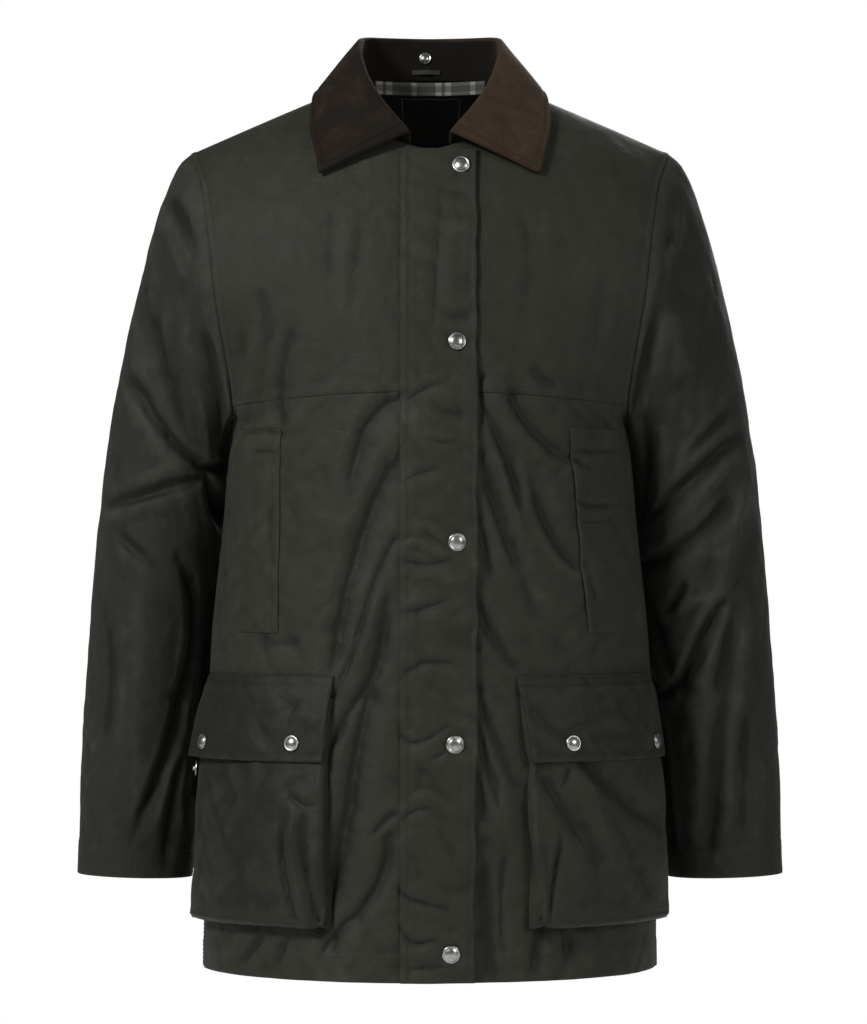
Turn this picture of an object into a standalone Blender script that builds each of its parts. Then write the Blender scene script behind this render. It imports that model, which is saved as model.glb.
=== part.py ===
"""Waxed cotton jacket, hip length, in the shape it has on a wearer, with no wearer inside.

Every cloth piece is a wall lofted through the garment's own sections. The body is a set of levels
from the front hem, over the shoulder, to the back hem. The sleeves are rings from the armhole to the
cuff. What is sewn on a panel takes that panel's points, moved out.

Tables are in millimetres and MM turns them into metres. +X is the wearer's left, -Y the front, +Z up.
The origin is level with the neck points of the shoulder seams, in the middle of the neck.
"""

import math
from collections import namedtuple

import bpy
import numpy as np
from mathutils import Vector

MM = 0.001

# ---------------------------------------------------------------- driving sizes, in millimetres
SEAM_GAP = 0.3          # between two pieces at a seam
LIFT = 0.45             # a sewn-on piece above its panel
SHELL = 2.0             # body and sleeve wall, waxed cotton with its lining
POCKET_CLOTH = 1.5      # single waxed cotton of the bellows bags
DOUBLE_CLOTH = 2.4      # flaps and storm flap, cloth turned on itself
WELT_CLOTH = 1.3
CORDUROY = 2.6          # collar, two layers
LINING = 1.0            # lining cloth at the back neck

# Heights of the front's cross lines
HEM_Z = -750.0
BAG_FOOT = -706.0
FLAP_FOOT = -571.0
FLAP_TOP = -500.0
WELT_FOOT = -465.0
ARMPIT_Z = -296.0
YOKE_Z = -266.0

NECK_HALF_WIDTH = 65.0
NECK_FRONT_REACH = 73.0
NECK_BACK_REACH = 50.0

# ---------------------------------------------------------------- body levels
# girth: where the level lies on the way up the front. side_*: its end, at the side seam or, above the
# armpit, on the armhole. front_* and back_*: its middle. roundness: how flat its middle lies before it
# falls to the side (near 0 it falls straight from the middle).
Level = namedtuple("Level", "girth side_x side_z side_y front_z front_y back_z back_y roundness")
LEVELS = (
    Level(0, 192, HEM_Z, 0, HEM_Z, 155, HEM_Z, 150, 3),
    Level(80, 191, -670, 0, -670, 153, -670, 147, 3),
    Level(160, 189.5, -590, 0, -590, 150, -590, 143, 3),
    Level(270, 185.5, -480, 0, -480, 146, -480, 136, 3),
    Level(370, 175.5, -380, 0, -380, 142, -380, 132, 3),
    Level(454, 168, ARMPIT_Z, 0, ARMPIT_Z, 138, ARMPIT_Z, 134, 3),
    Level(484, 165.5, -276, 41, YOKE_Z, 135, -268, 136, 3),
    Level(525, 170, -240, 64, -227, 128, -222, 137, 3),
    Level(578, 179, -188, 74, -175, 117, -160, 131, 3),
    Level(633, 185, -137, 64, -121, 101, -92, 118, 3),
    Level(689, 192, -92, 37, -70, 78, -32, 92, 0.6),
    Level(733, 199, -71, 17, -25, 46, 4, 54, 0.35),
    Level(775, 203, -61, 0, 13.7, 0, 13.7, 0, 0.2),
)
ARMPIT = 454.0
YOKE_SEAM = 484.0
SHOULDER = 775.0
BACK_HEM = 2 * SHOULDER
SHOULDER_TURN = math.radians(60)  # spreads the columns along the shoulder seam

# ---------------------------------------------------------------- sleeve rings
# along: distance down the arm. outer_* and inner_*: the two ends of the ring in the front view.
# middle_y and depth: its middle and its half depth, front to back.
Ring = namedtuple("Ring", "along outer_x outer_z inner_x inner_z middle_y depth")
RINGS = (
    Ring(0, 203, -63, 168, -296, 0, 74),
    Ring(9, 212, -70.5, 169, -300, 1, 74),
    Ring(20, 220, -83, 170, -306, 5, 73),
    Ring(37, 229.5, -106, 170.5, -315, 11, 71),
    Ring(63, 240.5, -141, 171, -329, 19, 69),
    Ring(97, 252.5, -186, 172.3, -350, 27, 67),
    Ring(137, 264.5, -238, 174.5, -378, 33, 65),
    Ring(184, 275.5, -299, 176.8, -412, 37, 62),
    Ring(236, 283.5, -362, 180.5, -452, 38, 59),
    Ring(295, 290, -433, 184.5, -498, 38, 56),
    Ring(360, 295.5, -510, 189, -551, 37, 52),
    Ring(431, 299.5, -590, 196, -612, 35, 48),
    Ring(506, 302, -674, 204, -677, 32, 43),
)
SLEEVE_LENGTH = RINGS[-1].along
SLEEVE_RINGS = 16
ARMHOLE_FADE = 90.0     # over this much of the sleeve the armhole's own shape dies out

# ---------------------------------------------------------------- lines of the front's grid
# rows: how many rows of cloth up to the next cross line. The upright lines, on each half: storm, the
# storm flap's edge in mm; then the pocket's inner edge, the hand pocket's inner and outer edge and the
# pocket's outer edge, as shares of the way round from centre front to the side seam.
Cross = namedtuple("Cross", "z rows right left")
Lines = namedtuple("Lines", "storm pocket welt_in welt_out pocket_out")
CROSSES = (
    Cross(HEM_Z, 2, Lines(24.4, 0.282, 0.475, 0.70, 0.885), Lines(36.0, 0.283, 0.500, 0.70, 0.885)),
    Cross(BAG_FOOT, 6, Lines(24.4, 0.282, 0.475, 0.70, 0.885), Lines(36.3, 0.283, 0.500, 0.70, 0.885)),
    Cross(FLAP_FOOT, 4, Lines(24.4, 0.295, 0.475, 0.69, 0.885), Lines(37.6, 0.282, 0.502, 0.69, 0.885)),
    Cross(FLAP_TOP, 2, Lines(24.4, 0.278, 0.475, 0.68, 0.885), Lines(38.5, 0.248, 0.504, 0.68, 0.885)),
    Cross(WELT_FOOT, 8, Lines(24.4, 0.276, 0.476, 0.672, 0.885), Lines(38.5, 0.247, 0.504, 0.68, 0.885)),
    Cross(ARMPIT_Z, 2, Lines(24.4, 0.270, 0.527, 0.80, 0.91), Lines(38.5, 0.250, 0.479, 0.78, 0.90)),
    Cross(YOKE_Z, 9, Lines(24.4, 0.270, 0.527, 0.80, 0.91), Lines(38.5, 0.250, 0.490, 0.78, 0.90)),
)
SHOULDER_LINES = Lines(None, None, 0.51, 0.76, 0.90)   # at the top the pocket line meets the neck point
SPANS = (2, 4, 3, 4, 2, 1)  # columns of cloth between the upright lines, from centre front outward
STORM_LINE, POCKET_LINE, WELT_IN, WELT_OUT, POCKET_OUT = (sum(SPANS[: i + 1]) for i in range(5))
BACK_SPANS = (4, 5)     # columns from centre back to the neck point's line and on to the side
BACK_LINE = 0.30
BACK_ROWS = 10          # from the hem to the armpit

# ---------------------------------------------------------------- collar stations
# turn: 0 at centre back, 90 at the neck point, 180 at centre front. roll_*: the fold line at the top
# of the stand. edge_u and edge_girth: where on the body the fall's free edge lies.
Station = namedtuple("Station", "turn roll_x roll_y roll_z edge_u edge_girth")
COLLAR = (
    Station(0, 0, 58, 43.5, 0.0, 843),
    Station(25, 27, 54, 43.5, 0.172, 829),
    Station(50, 48, 39, 42.5, 0.320, 810),
    Station(75, 59, 16, 38, 0.383, 788),
    Station(97, 60, -9, 26, 0.407, 761),
    Station(118, 55, -34, 6, 0.407, 735),
    Station(138, 44, -57, -16, 0.408, 706),
    Station(165, 18, -79, -49, 0.412, 678),
)
FALL_STANDS_OFF = 3.0   # the free edge above the body
FALL_BULGE = 0.8        # outward and up, at the middle of the fall

# ---------------------------------------------------------------- folds
# A fold is a soft trough along a bowed line in the front view. wide: half its width. deep: its depth.
Fold = namedtuple("Fold", "from_x from_z to_x to_z bow wide deep")
FRONT_FOLDS = (
    Fold(-36, -277, -66, -353, 4, 10, 3.0),
    Fold(-28, -304, -84, -566, 9, 13, 6.0),
    Fold(-28, -395, -85, -689, 8, 12, 6.0),
    Fold(-25, -625, -95, -732, -10, 12, 4.5),
    Fold(44, -275, 78, -376, -3, 11, 4.0),
    Fold(42, -334, 78, -426, -4, 11, 4.0),
    Fold(67, -258, 112, -309, -3, 10, 3.0),
    Fold(84, -334, 120, -409, -4, 12, 4.0),
    Fold(39, -438, 66, -491, -2, 10, 4.5),
    Fold(40, -520, 64, -600, -3, 11, 4.0),
    Fold(-114, -205, -128, -306, 5, 11, 3.0),
)
BACK_FOLDS = (
    Fold(-40, -150, -110, -320, 10, 20, 4.0),
    Fold(46, -165, 104, -340, -10, 20, 4.0),
    Fold(-60, -450, -96, -680, 6, 20, 5.0),
    Fold(8, -410, 22, -640, 5, 18, 3.5),
    Fold(78, -430, 118, -670, -8, 20, 5.0),
)
SLEEVE_FOLDS = {
    -1: (
        Fold(-256, -238, -196, -326, 12, 14, 8.0),
        Fold(-276, -352, -190, -324, -6, 13, 6.5),
        Fold(-244, -172, -226, -250, 3, 16, 4.0),
        Fold(-272, -366, -236, -408, 3, 13, 4.0),
        Fold(-206, -412, -262, -644, 26, 18, 6.0),
    ),
    1: (
        Fold(268, -288, 216, -338, 3, 12, 5.0),
        Fold(256, -266, 216, -314, 3, 12, 4.0),
        Fold(246, -440, 206, -516, 4, 14, 8.0),
        Fold(182, -412, 230, -382, 4, 13, 5.0),
        Fold(192, -190, 222, -124, 4, 12, 4.0),
    ),
}
BACK_OF_SLEEVE_SHIFT = 34.0  # folds on the hidden side lie this much lower, and are softer
BACK_OF_SLEEVE_SHARE = 0.7

# ---------------------------------------------------------------- pockets, storm flap and snaps
STORM_TOP = -63.0
BAG_HEIGHTS = ((BAG_FOOT, 13.0), (-600.0, 10.0), (-560.0, 6.5), (-515.0, 1.2))  # the bag's face above the panel
GUSSET = 3.5            # the bellows wall, seen from the front
FLAP_CLEARANCE = 0.7    # the flap above the bag
FLAP_LIFT = {-1: 7.0, 1: 0.6}   # how much more the foot stands off at its outer corner

# Snap fasteners: radius and height of the turned caps, top to bottom, and their places in the front view
SNAP_PROFILE = ((0, 2.7), (3.4, 2.4), (6.2, 1.6), (7.5, 0.6), (7.1, 0), (0, 0))
HOOD_SNAP_PROFILE = ((0, 2.4), (2.6, 2.1), (4.7, 1.4), (5.7, 0.5), (5.4, 0), (0, 0))
STUD_PROFILE = ((0, 3.2), (1.9, 3.0), (2.1, 1.1), (6.6, 0.9), (6.8, 0), (0, 0))
SNAP_SIDES = 14
SNAP_CLEARANCE = 0.35
Snap = namedtuple("Snap", "x z")
FRONT_SNAPS = (Snap(26, -76), Snap(22.3, -224.5), Snap(22.2, -389.5), Snap(20.5, -555), Snap(17.3, -726))
FLAP_SNAPS = {-1: (Snap(-113.5, -555), Snap(-190, -557)), 1: (Snap(117.8, -555), Snap(190, -557))}
BAG_STUD = Snap(-198.5, -582)
HOOD_SNAP = Snap(-4.3, 26)

# Inside the back neck: how far down from the neck seam and out from centre back, in rows and columns of
# the back, and how far in from its inner face. The strip crosses the twisted cloth at the neck's sides.
InsidePiece = namedtuple("InsidePiece", "rows columns lift")
LINING_STRIP = InsidePiece((0.34, 0.03), (-3, -2, -1, 0, 1, 2, 3), 1.5)
LABEL_PATCH = InsidePiece((1.1, 1, 0.37), (-2, -1, 0, 1, 2), 0.9)
LOOP_ACROSS = (-16.0, -12.5, -3.2, 6.0, 9.5)    # the hanger loop, from end to end
LOOP_STANDS_OFF = (0.0, 1.6, 2.6, 1.6, 0.0)
LOOP_HEIGHTS = (11.0, 17.0)
LOOP_CLOTH = 1.0

WAX = (0.052, 0.054, 0.044, 1)
WAX_DARK = (0.040, 0.041, 0.036, 1)
BROWN = (0.052, 0.034, 0.022, 1)
DARK_BROWN = (0.020, 0.014, 0.011, 1)
CHECK = (0.40, 0.41, 0.38, 1)
BLACK = (0.010, 0.010, 0.009, 1)
STEEL = (0.62, 0.61, 0.58, 1)


# ---------------------------------------------------------------- scene and materials
def start_collection(name):
    for old in list(bpy.data.objects):
        bpy.data.objects.remove(old)
    made = bpy.data.collections.new(name)
    bpy.context.scene.collection.children.link(made)
    return made


def material(name, colour, roughness, metallic=0.0):
    made = bpy.data.materials.new(name)
    made.use_nodes = True
    shader = made.node_tree.nodes["Principled BSDF"]
    shader.inputs["Base Color"].default_value = colour
    shader.inputs["Roughness"].default_value = roughness
    shader.inputs["Metallic"].default_value = metallic
    return made


def unit(vectors):
    return vectors / np.maximum(np.linalg.norm(vectors, axis=-1, keepdims=True), 1e-9)


def smooth(share):
    share = np.clip(share, 0, 1)
    return share * share * (3 - 2 * share)


def spline(knots, rows, at):
    """The smooth curve through rows, one for each knot, read at each value of at. It never swings past
    its knots. rows is (knots, values), or (knots, points, values) to read each point's own curve."""
    knots, rows, at = np.asarray(knots, float), np.asarray(rows, float), np.asarray(at, float)
    step = np.diff(knots).reshape(-1, *[1] * (rows.ndim - 1))
    slope = np.diff(rows, axis=0) / step
    same_way = slope[:-1] * slope[1:] > 1e-12
    between = np.where(same_way, 2 * slope[:-1] * slope[1:] / np.where(same_way, slope[:-1] + slope[1:], 1), 0)
    tangent = np.concatenate([slope[:1], between, slope[-1:]])
    k = np.clip(np.searchsorted(knots, at, side="right") - 1, 0, len(knots) - 2)
    points = np.arange(len(at))
    pick = (lambda table, i: table[i, points]) if rows.ndim == 3 else (lambda table, i: table[i])
    h = (knots[k + 1] - knots[k])[:, None]
    t = ((at - knots[k]) / h[:, 0])[:, None]
    return (
        (1 + 2 * t) * (1 - t) ** 2 * pick(rows, k)
        + t * (1 - t) ** 2 * h * pick(tangent, k)
        + t * t * (3 - 2 * t) * pick(rows, k + 1)
        + t * t * (t - 1) * h * pick(tangent, k + 1)
    )


def fold_depth(folds, x, z):
    """How deep the folds press the cloth in, at front-view places x and z."""
    total = np.zeros_like(x)
    for fold in folds:
        run_x, run_z = fold.to_x - fold.from_x, fold.to_z - fold.from_z
        length = math.hypot(run_x, run_z)
        along = ((x - fold.from_x) * run_x + (z - fold.from_z) * run_z) / length**2
        t = np.clip(along, 0, 1)
        across = ((x - fold.from_x) * run_z - (z - fold.from_z) * run_x) / length
        across -= fold.bow * 4 * t * (1 - t)
        past = (along - t) * length
        ends = 0.25 + 0.75 * smooth(np.minimum(t, 1 - t) * 4)
        total += fold.deep * ends * np.exp(-(across**2 + past**2) / fold.wide**2)
    return total


# ---------------------------------------------------------------- the body's surface
def level_points(level, u, back):
    """Points of one level, for u from -1 at the right side to 1 at the left side."""
    middle_y, middle_z = (level.back_y, level.back_z) if back else (level.front_y, level.front_z)
    turn = math.acos(level.side_y / middle_y) if middle_y else SHOULDER_TURN
    sweep = np.sin(np.abs(u) * turn) / math.sin(turn)
    x = level.side_x * sweep * np.sign(u)
    y = middle_y * np.cos(u * turn) * (1 if back else -1)
    falls = (np.hypot(sweep, level.roundness) - level.roundness) / (math.hypot(1, level.roundness) - level.roundness)
    z = middle_z + (level.side_z - middle_z) * falls
    return np.stack([x, y, z], axis=-1)


def plain_body(u, girth):
    """The body without folds: girth runs up the front to SHOULDER, and down the back to BACK_HEM."""
    u = np.asarray(u, float)
    front = [level_points(level, u, False) for level in LEVELS]
    back = [level_points(level, u, True) for level in reversed(LEVELS[:-1])]
    knots = [level.girth for level in LEVELS] + [BACK_HEM - level.girth for level in reversed(LEVELS[:-1])]
    return spline(knots, np.array(front + back), girth)


def body_normals(u, girth):
    small_u, small = 0.004, 1.0
    inside = np.clip(girth, small, BACK_HEM - small)
    across = plain_body(np.clip(u + small_u, -1, 1), inside) - plain_body(np.clip(u - small_u, -1, 1), inside)
    along = plain_body(u, inside + small) - plain_body(u, inside - small)
    return unit(np.cross(across, along))


def body(u, girth):
    """(points, normals) of the body with its folds."""
    u, girth = np.broadcast_arrays(np.asarray(u, float), np.asarray(girth, float))
    plain, normals = plain_body(u, girth), body_normals(u, girth)
    x, _, z = plain.T
    depth = np.where(girth < SHOULDER, fold_depth(FRONT_FOLDS, x, z), fold_depth(BACK_FOLDS, x, z))
    seam = np.clip((1 - np.abs(u)) * 9, 0, 1)  # folds die out at the side seam
    return plain - normals * (depth * seam)[:, None], normals


def halve(low, high, is_over):
    """The place between low and high at which is_over turns true."""
    for _ in range(30):
        middle = (low + high) / 2
        over = is_over(middle)
        low, high = np.where(over, low, middle), np.where(over, middle, high)
    return (low + high) / 2


def u_at(x, girth):
    """The u at which the level at girth has this x."""
    x, girth = np.atleast_1d(np.asarray(x, float)), np.atleast_1d(np.asarray(girth, float))
    return halve(np.full(x.shape, -1.0), np.full(x.shape, 1.0), lambda u: plain_body(u, girth)[:, 0] > x)


def neckline(u, back):
    """The girth at which each column ends, on the neck seam or, outside it, on the shoulder seam."""
    reach = NECK_BACK_REACH if back else NECK_FRONT_REACH

    def in_neck(climb):
        place = plain_body(u, BACK_HEM - climb if back else climb)
        return (place[:, 0] / NECK_HALF_WIDTH) ** 2 + (place[:, 1] / reach) ** 2 < 1

    u = np.asarray(u, float)
    climb = halve(np.full(u.shape, LEVELS[-4].girth), np.full(u.shape, SHOULDER), in_neck)
    return BACK_HEM - climb if back else climb


NECK_U = float(u_at(NECK_HALF_WIDTH, SHOULDER)[0])

# ---------------------------------------------------------------- the armhole
# Places on it are turns: 0 at the armpit, up the front to a half turn at the shoulder tip.
ARMHOLE_GIRTHS = [ARMPIT] + [level.girth for level in LEVELS[6:]]
ARMHOLE_TURNS = [math.radians(turn) for turn in (0, 30, 60, 90, 120, 150, 165, 180)]
ARMHOLE_MITRE = (0.35, 0.28, 0.77)  # lean of the seam's edge, at the armpit, the front and the shoulder tip


def armhole_girth(turn):
    turn = np.mod(turn, 2 * math.pi)
    climb = np.interp(np.minimum(turn, 2 * math.pi - turn), ARMHOLE_TURNS, ARMHOLE_GIRTHS)
    return np.where(turn <= math.pi, climb, BACK_HEM - climb)


def armhole_loop(side, turn):
    return plain_body(np.full(np.shape(turn), float(side)), armhole_girth(turn))


def armhole_mitre(side, turn):
    """(directions through the wall, directions across the seam), which both pieces share."""
    tangent = unit(armhole_loop(side, turn + 0.03) - armhole_loop(side, turn - 0.03))
    half_turn = np.minimum(np.mod(turn, 2 * math.pi), 2 * math.pi - np.mod(turn, 2 * math.pi))
    lean = np.interp(half_turn, (0, math.pi / 2, math.pi), ARMHOLE_MITRE)
    through = unit(np.stack([side * lean, -np.sin(turn), -np.cos(turn)], axis=-1))
    across = unit(np.cross(tangent, through))
    return through, across * np.sign(across[:, :1] * side)


# The climbs (girths up the front) of the rows that end on the armhole, shared by body and sleeve.
YOKE_CLIMBS = armhole_girth(np.linspace(math.radians(30), math.pi, CROSSES[-1].rows + 1))
ARMHOLE_CLIMBS = np.concatenate([np.linspace(ARMPIT, YOKE_SEAM, CROSSES[-2].rows + 1)[:-1], YOKE_CLIMBS])


# ---------------------------------------------------------------- the sleeve's surface
def ring_points(side, turn, along):
    """Points of the plain rings. A turn starts at the ring's inner end and goes up its front."""
    ring = spline([r.along for r in RINGS], [r[1:] for r in RINGS], along)
    outer_x, outer_z, inner_x, inner_z, middle_y, depth = ring.T
    lean = -np.cos(turn)
    x = (outer_x + inner_x) / 2 + lean * (outer_x - inner_x) / 2
    z = (outer_z + inner_z) / 2 + lean * (outer_z - inner_z) / 2
    y = middle_y - np.sin(turn) * depth
    return np.stack([side * x, y, z], axis=-1)


def plain_sleeve(side, turn, along):
    own_shape = armhole_loop(side, turn) - ring_points(side, turn, np.zeros(np.shape(turn)))
    fade = smooth(1 - along / ARMHOLE_FADE)
    return ring_points(side, turn, along) + own_shape * fade[:, None]


def sleeve(side, turn, along):
    """(points, normals) of a sleeve with its folds."""
    turn, along = np.broadcast_arrays(np.asarray(turn, float), np.asarray(along, float))
    small_turn, small = 0.02, 1.0
    inside = np.clip(along, small, SLEEVE_LENGTH - small)
    plain = plain_sleeve(side, turn, along)
    round_it = plain_sleeve(side, turn + small_turn, inside) - plain_sleeve(side, turn - small_turn, inside)
    down = plain_sleeve(side, turn, inside + small) - plain_sleeve(side, turn, inside - small)
    normals = unit(np.cross(down, round_it)) * side
    x, y, z = plain.T
    middle_y = spline([r.along for r in RINGS], [[r.middle_y] for r in RINGS], along)[:, 0]
    in_front = np.clip(0.5 + (middle_y - y) / 30, 0, 1)
    folds = SLEEVE_FOLDS[side]
    depth = in_front * fold_depth(folds, x, z)
    depth += (1 - in_front) * BACK_OF_SLEEVE_SHARE * fold_depth(folds, x, z + BACK_OF_SLEEVE_SHIFT)
    ends = np.clip(along / 40, 0, 1) * np.clip((SLEEVE_LENGTH - along) / 30, 0, 1)
    return plain - normals * (depth * ends)[:, None], normals


# ---------------------------------------------------------------- walls
def add_object(name, points, faces, finish):
    mesh = bpy.data.meshes.new(name)
    mesh.from_pydata((np.asarray(points).reshape(-1, 3) * MM).tolist(), [], faces)
    mesh.shade_smooth()
    mesh.set_sharp_from_angle(angle=math.radians(50))
    mesh.materials.append(finish)
    made = bpy.data.objects.new(name, mesh)
    PARTS.objects.link(made)
    return made


def grid_faces(rows, columns, ring=False, start=0):
    """Triangles of a grid of points, facing out where columns run to the left and rows run up the front.

    Both skins of a wall split on the same diagonal, so that they stay parallel in a fold."""
    faces = []
    for i in range(rows - 1):
        for j in range(columns if ring else columns - 1):
            k = (j + 1) % columns
            a, b = start + i * columns, start + (i + 1) * columns
            faces += [(a + j, a + k, b + k), (a + j, b + k, b + j)]
    return faces


def panel(name, outer, inner, finish, ring=False):
    """A closed wall lofted between two grids of points. With ring, each row is a closed loop."""
    rows, columns = outer.shape[:2]
    count = rows * columns
    faces = grid_faces(rows, columns, ring)
    faces += [tuple(reversed(face)) for face in grid_faces(rows, columns, ring, count)]
    spans = [(j, (j + 1) % columns) for j in range(columns if ring else columns - 1)]
    last = count - columns
    for j, k in spans:
        faces += [(k, j, count + k), (j, count + j, count + k)]
        faces += [(last + j, last + k, last + count + k), (last + j, last + count + k, last + count + j)]
    if not ring:
        for a in range(0, last, columns):
            b, far = a + columns, a + columns - 1
            faces += [(a, b, count + b), (a, count + b, count + a)]
            faces += [(far + columns, far, count + far + columns), (far, count + far, count + far + columns)]
    return add_object(name, np.concatenate([outer.reshape(-1, 3), inner.reshape(-1, 3)]), faces, finish)


def sewn_on(name, points, thickness, finish, inward=False):
    """An open surface with a wall of the given thickness on its outer side."""
    made = add_object(name, points, grid_faces(*points.shape[:2]), finish)
    wall = made.modifiers.new("wall", "SOLIDIFY")
    wall.thickness = thickness * MM
    wall.offset = -1 if inward else 1
    wall.use_even_offset = True
    return made


# ---------------------------------------------------------------- the front's grid
def row_columns(lines, girth, side):
    """The shares of one half's columns in a row, from centre front to the side."""
    storm = abs(float(u_at(side * lines.storm, girth)[0]))
    stops = [0, storm, lines.pocket, lines.welt_in, lines.welt_out, lines.pocket_out, 1]
    return np.concatenate([[0]] + [np.linspace(a, b, n + 1)[1:] for a, b, n in zip(stops, stops[1:], SPANS)])


def row_lines(z, side):
    """The upright lines at a height, between the cross lines' rows."""
    table = [cross.right if side < 0 else cross.left for cross in CROSSES]
    heights = [cross.z for cross in CROSSES]
    return Lines(*[float(np.interp(z, heights, [row[i] for row in table])) for i in range(5)])


def full_row(right, left):
    return np.concatenate([-right[::-1], left[1:]])


def front_grid():
    """(girths, columns) of the whole front, a row each from the hem to the neck and shoulder seams."""
    girths, columns = [], []
    for low, high in zip(CROSSES, CROSSES[1:]):
        for z in np.linspace(low.z, high.z, low.rows + 1)[:-1]:
            halves = [row_columns(row_lines(z, side), z - HEM_Z, side) for side in (-1, 1)]
            columns.append(full_row(*halves))
            girths.append(np.full(columns[-1].shape, z - HEM_Z))
    seam = full_row(*[row_columns(row_lines(YOKE_Z, side), YOKE_SEAM, side) for side in (-1, 1)])
    shoulder = []
    for side, cross in ((-1, CROSSES[-1].right), (1, CROSSES[-1].left)):
        storm_top = float(neckline(u_at(side * cross.storm, 700), False)[0])
        storm_u = abs(float(u_at(side * cross.storm, storm_top)[0]))
        lines = SHOULDER_LINES._replace(storm=NECK_HALF_WIDTH, pocket=NECK_U)
        half = row_columns(lines, SHOULDER, side)
        inner = SPANS[0] + SPANS[1]
        half[: SPANS[0] + 1] = np.linspace(0, storm_u, SPANS[0] + 1)
        half[SPANS[0] : inner + 1] = np.linspace(storm_u, NECK_U, SPANS[1] + 1)
        shoulder.append(half)
    shoulder = full_row(*shoulder)
    for climb in YOKE_CLIMBS:
        share = (climb - YOKE_SEAM) / (SHOULDER - YOKE_SEAM)
        row = seam + (shoulder - seam) * share
        columns.append(row)
        girths.append(YOKE_SEAM + (neckline(row, False) - YOKE_SEAM) * share)
    return np.array(girths), np.array(columns)


def surface(girths, columns):
    rows = [body(u, girth) for u, girth in zip(columns, girths)]
    return np.array([row[0] for row in rows]), np.array([row[1] for row in rows])


def row_of(z):
    """The front grid's row on a cross line."""
    return sum(cross.rows for cross in CROSSES if cross.z < z - 1)


MIDDLE = sum(SPANS)     # the column at centre front


def fit_armhole(points, normals, climbs, column, side, back):
    """Gives the edge on the armhole the seam's shared mitre, and half the seam gap."""
    for i, climb in enumerate(climbs):
        if climb < ARMPIT - 0.5:
            continue
        turn = np.interp(climb, ARMHOLE_GIRTHS, ARMHOLE_TURNS)
        through, across = armhole_mitre(side, np.array([2 * math.pi - turn if back else turn]))
        points[i, column] -= across[0] * SEAM_GAP / 2
        normals[i, column] = through[0]


def build_front(name, side, rows, front, finish):
    """One side of the front between two of its rows."""
    girths, points, normals = front
    columns = slice(0, MIDDLE + 1) if side < 0 else slice(MIDDLE, None)
    edge, centre = (0, -1) if side < 0 else (-1, 0)
    points, normals = points[rows, columns].copy(), normals[rows, columns].copy()
    climbs = girths[rows, columns][:, edge]
    points[:, centre, 0] += side * SEAM_GAP / 2
    points[:, edge, 1] -= SEAM_GAP / 2
    if rows.stop is None:  # the yoke, between its own seam and the shoulder seam
        points[0, :, 2] += SEAM_GAP / 2
        points[-1, :, 1] -= SEAM_GAP / 2
    else:
        points[-1, :, 2] -= SEAM_GAP / 2
    fit_armhole(points, normals, climbs, edge, side, back=False)
    panel(name, points, points - normals * SHELL, finish)


def build_back(finish):
    low_spans, high_spans = BACK_SPANS
    climbs = np.concatenate([np.linspace(0, ARMPIT, BACK_ROWS + 1)[:-1], ARMHOLE_CLIMBS])
    girths, columns = [], []
    for climb in climbs:
        share = max(0, climb - ARMPIT) / (SHOULDER - ARMPIT)
        line = BACK_LINE + (NECK_U - BACK_LINE) * share
        half = np.concatenate([np.linspace(0, line, low_spans + 1), np.linspace(line, 1, high_spans + 1)[1:]])
        row = full_row(half, half)
        columns.append(row)
        low = BACK_HEM - min(climb, ARMPIT)
        girths.append(low + (neckline(row, True) - low) * share)
    points, normals = surface(np.array(girths), np.array(columns))
    points[-1, :, 1] += SEAM_GAP / 2
    for edge, side in ((0, -1), (-1, 1)):
        points[:, edge, 1] += SEAM_GAP / 2
        fit_armhole(points, normals, climbs, edge, side, back=True)
    # seen from outside the back's columns run the other way, so its inner face leads
    panel("back", points - normals * SHELL, points, finish)
    return points, normals


def build_sleeve(name, side, finish):
    climb_turns = np.interp(ARMHOLE_CLIMBS, ARMHOLE_GIRTHS, ARMHOLE_TURNS)
    turns = np.concatenate([climb_turns, 2 * math.pi - climb_turns[-2:0:-1]])
    stops = np.concatenate([[0, 9, 22], np.linspace(42, SLEEVE_LENGTH, SLEEVE_RINGS - 3)])
    grid = [sleeve(side, turns, np.full(len(turns), stop)) for stop in stops]
    points, normals = np.array([g[0] for g in grid]), np.array([g[1] for g in grid])
    through, across = armhole_mitre(side, turns)
    points[0] += across * SEAM_GAP / 2
    normals[0] = through
    inner = points - normals * SHELL
    if side < 0:
        points, inner = points[:, ::-1], inner[:, ::-1]
    panel(name, points[::-1], inner[::-1], finish, ring=True)


# ---------------------------------------------------------------- pieces that lie on the front
def read(grid, row, column):
    """A grid of points read between its rows and columns."""
    i, j = (int(np.clip(math.floor(at), 0, size - 2)) for at, size in zip((row, column), grid.shape))
    s, t = row - i, column - j
    low = grid[i, j] + (grid[i, j + 1] - grid[i, j]) * t
    high = grid[i + 1, j] + (grid[i + 1, j + 1] - grid[i + 1, j]) * t
    return low + (high - low) * s


def moved_out(front, rows, columns, heights):
    """The front's points at rows and columns, whole or between, moved out by heights."""
    _, points, normals = front
    return np.array([
        [read(points, r, c) + unit(read(normals, r, c)) * height for c, height in zip(columns, line)]
        for r, line in zip(rows, heights)
    ])


def column_range(side, first, last):
    """The front grid's columns between two upright lines of one half, from right to left."""
    return np.arange(MIDDLE - last, MIDDLE - first + 1) if side < 0 else np.arange(MIDDLE + first, MIDDLE + last + 1)


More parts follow.
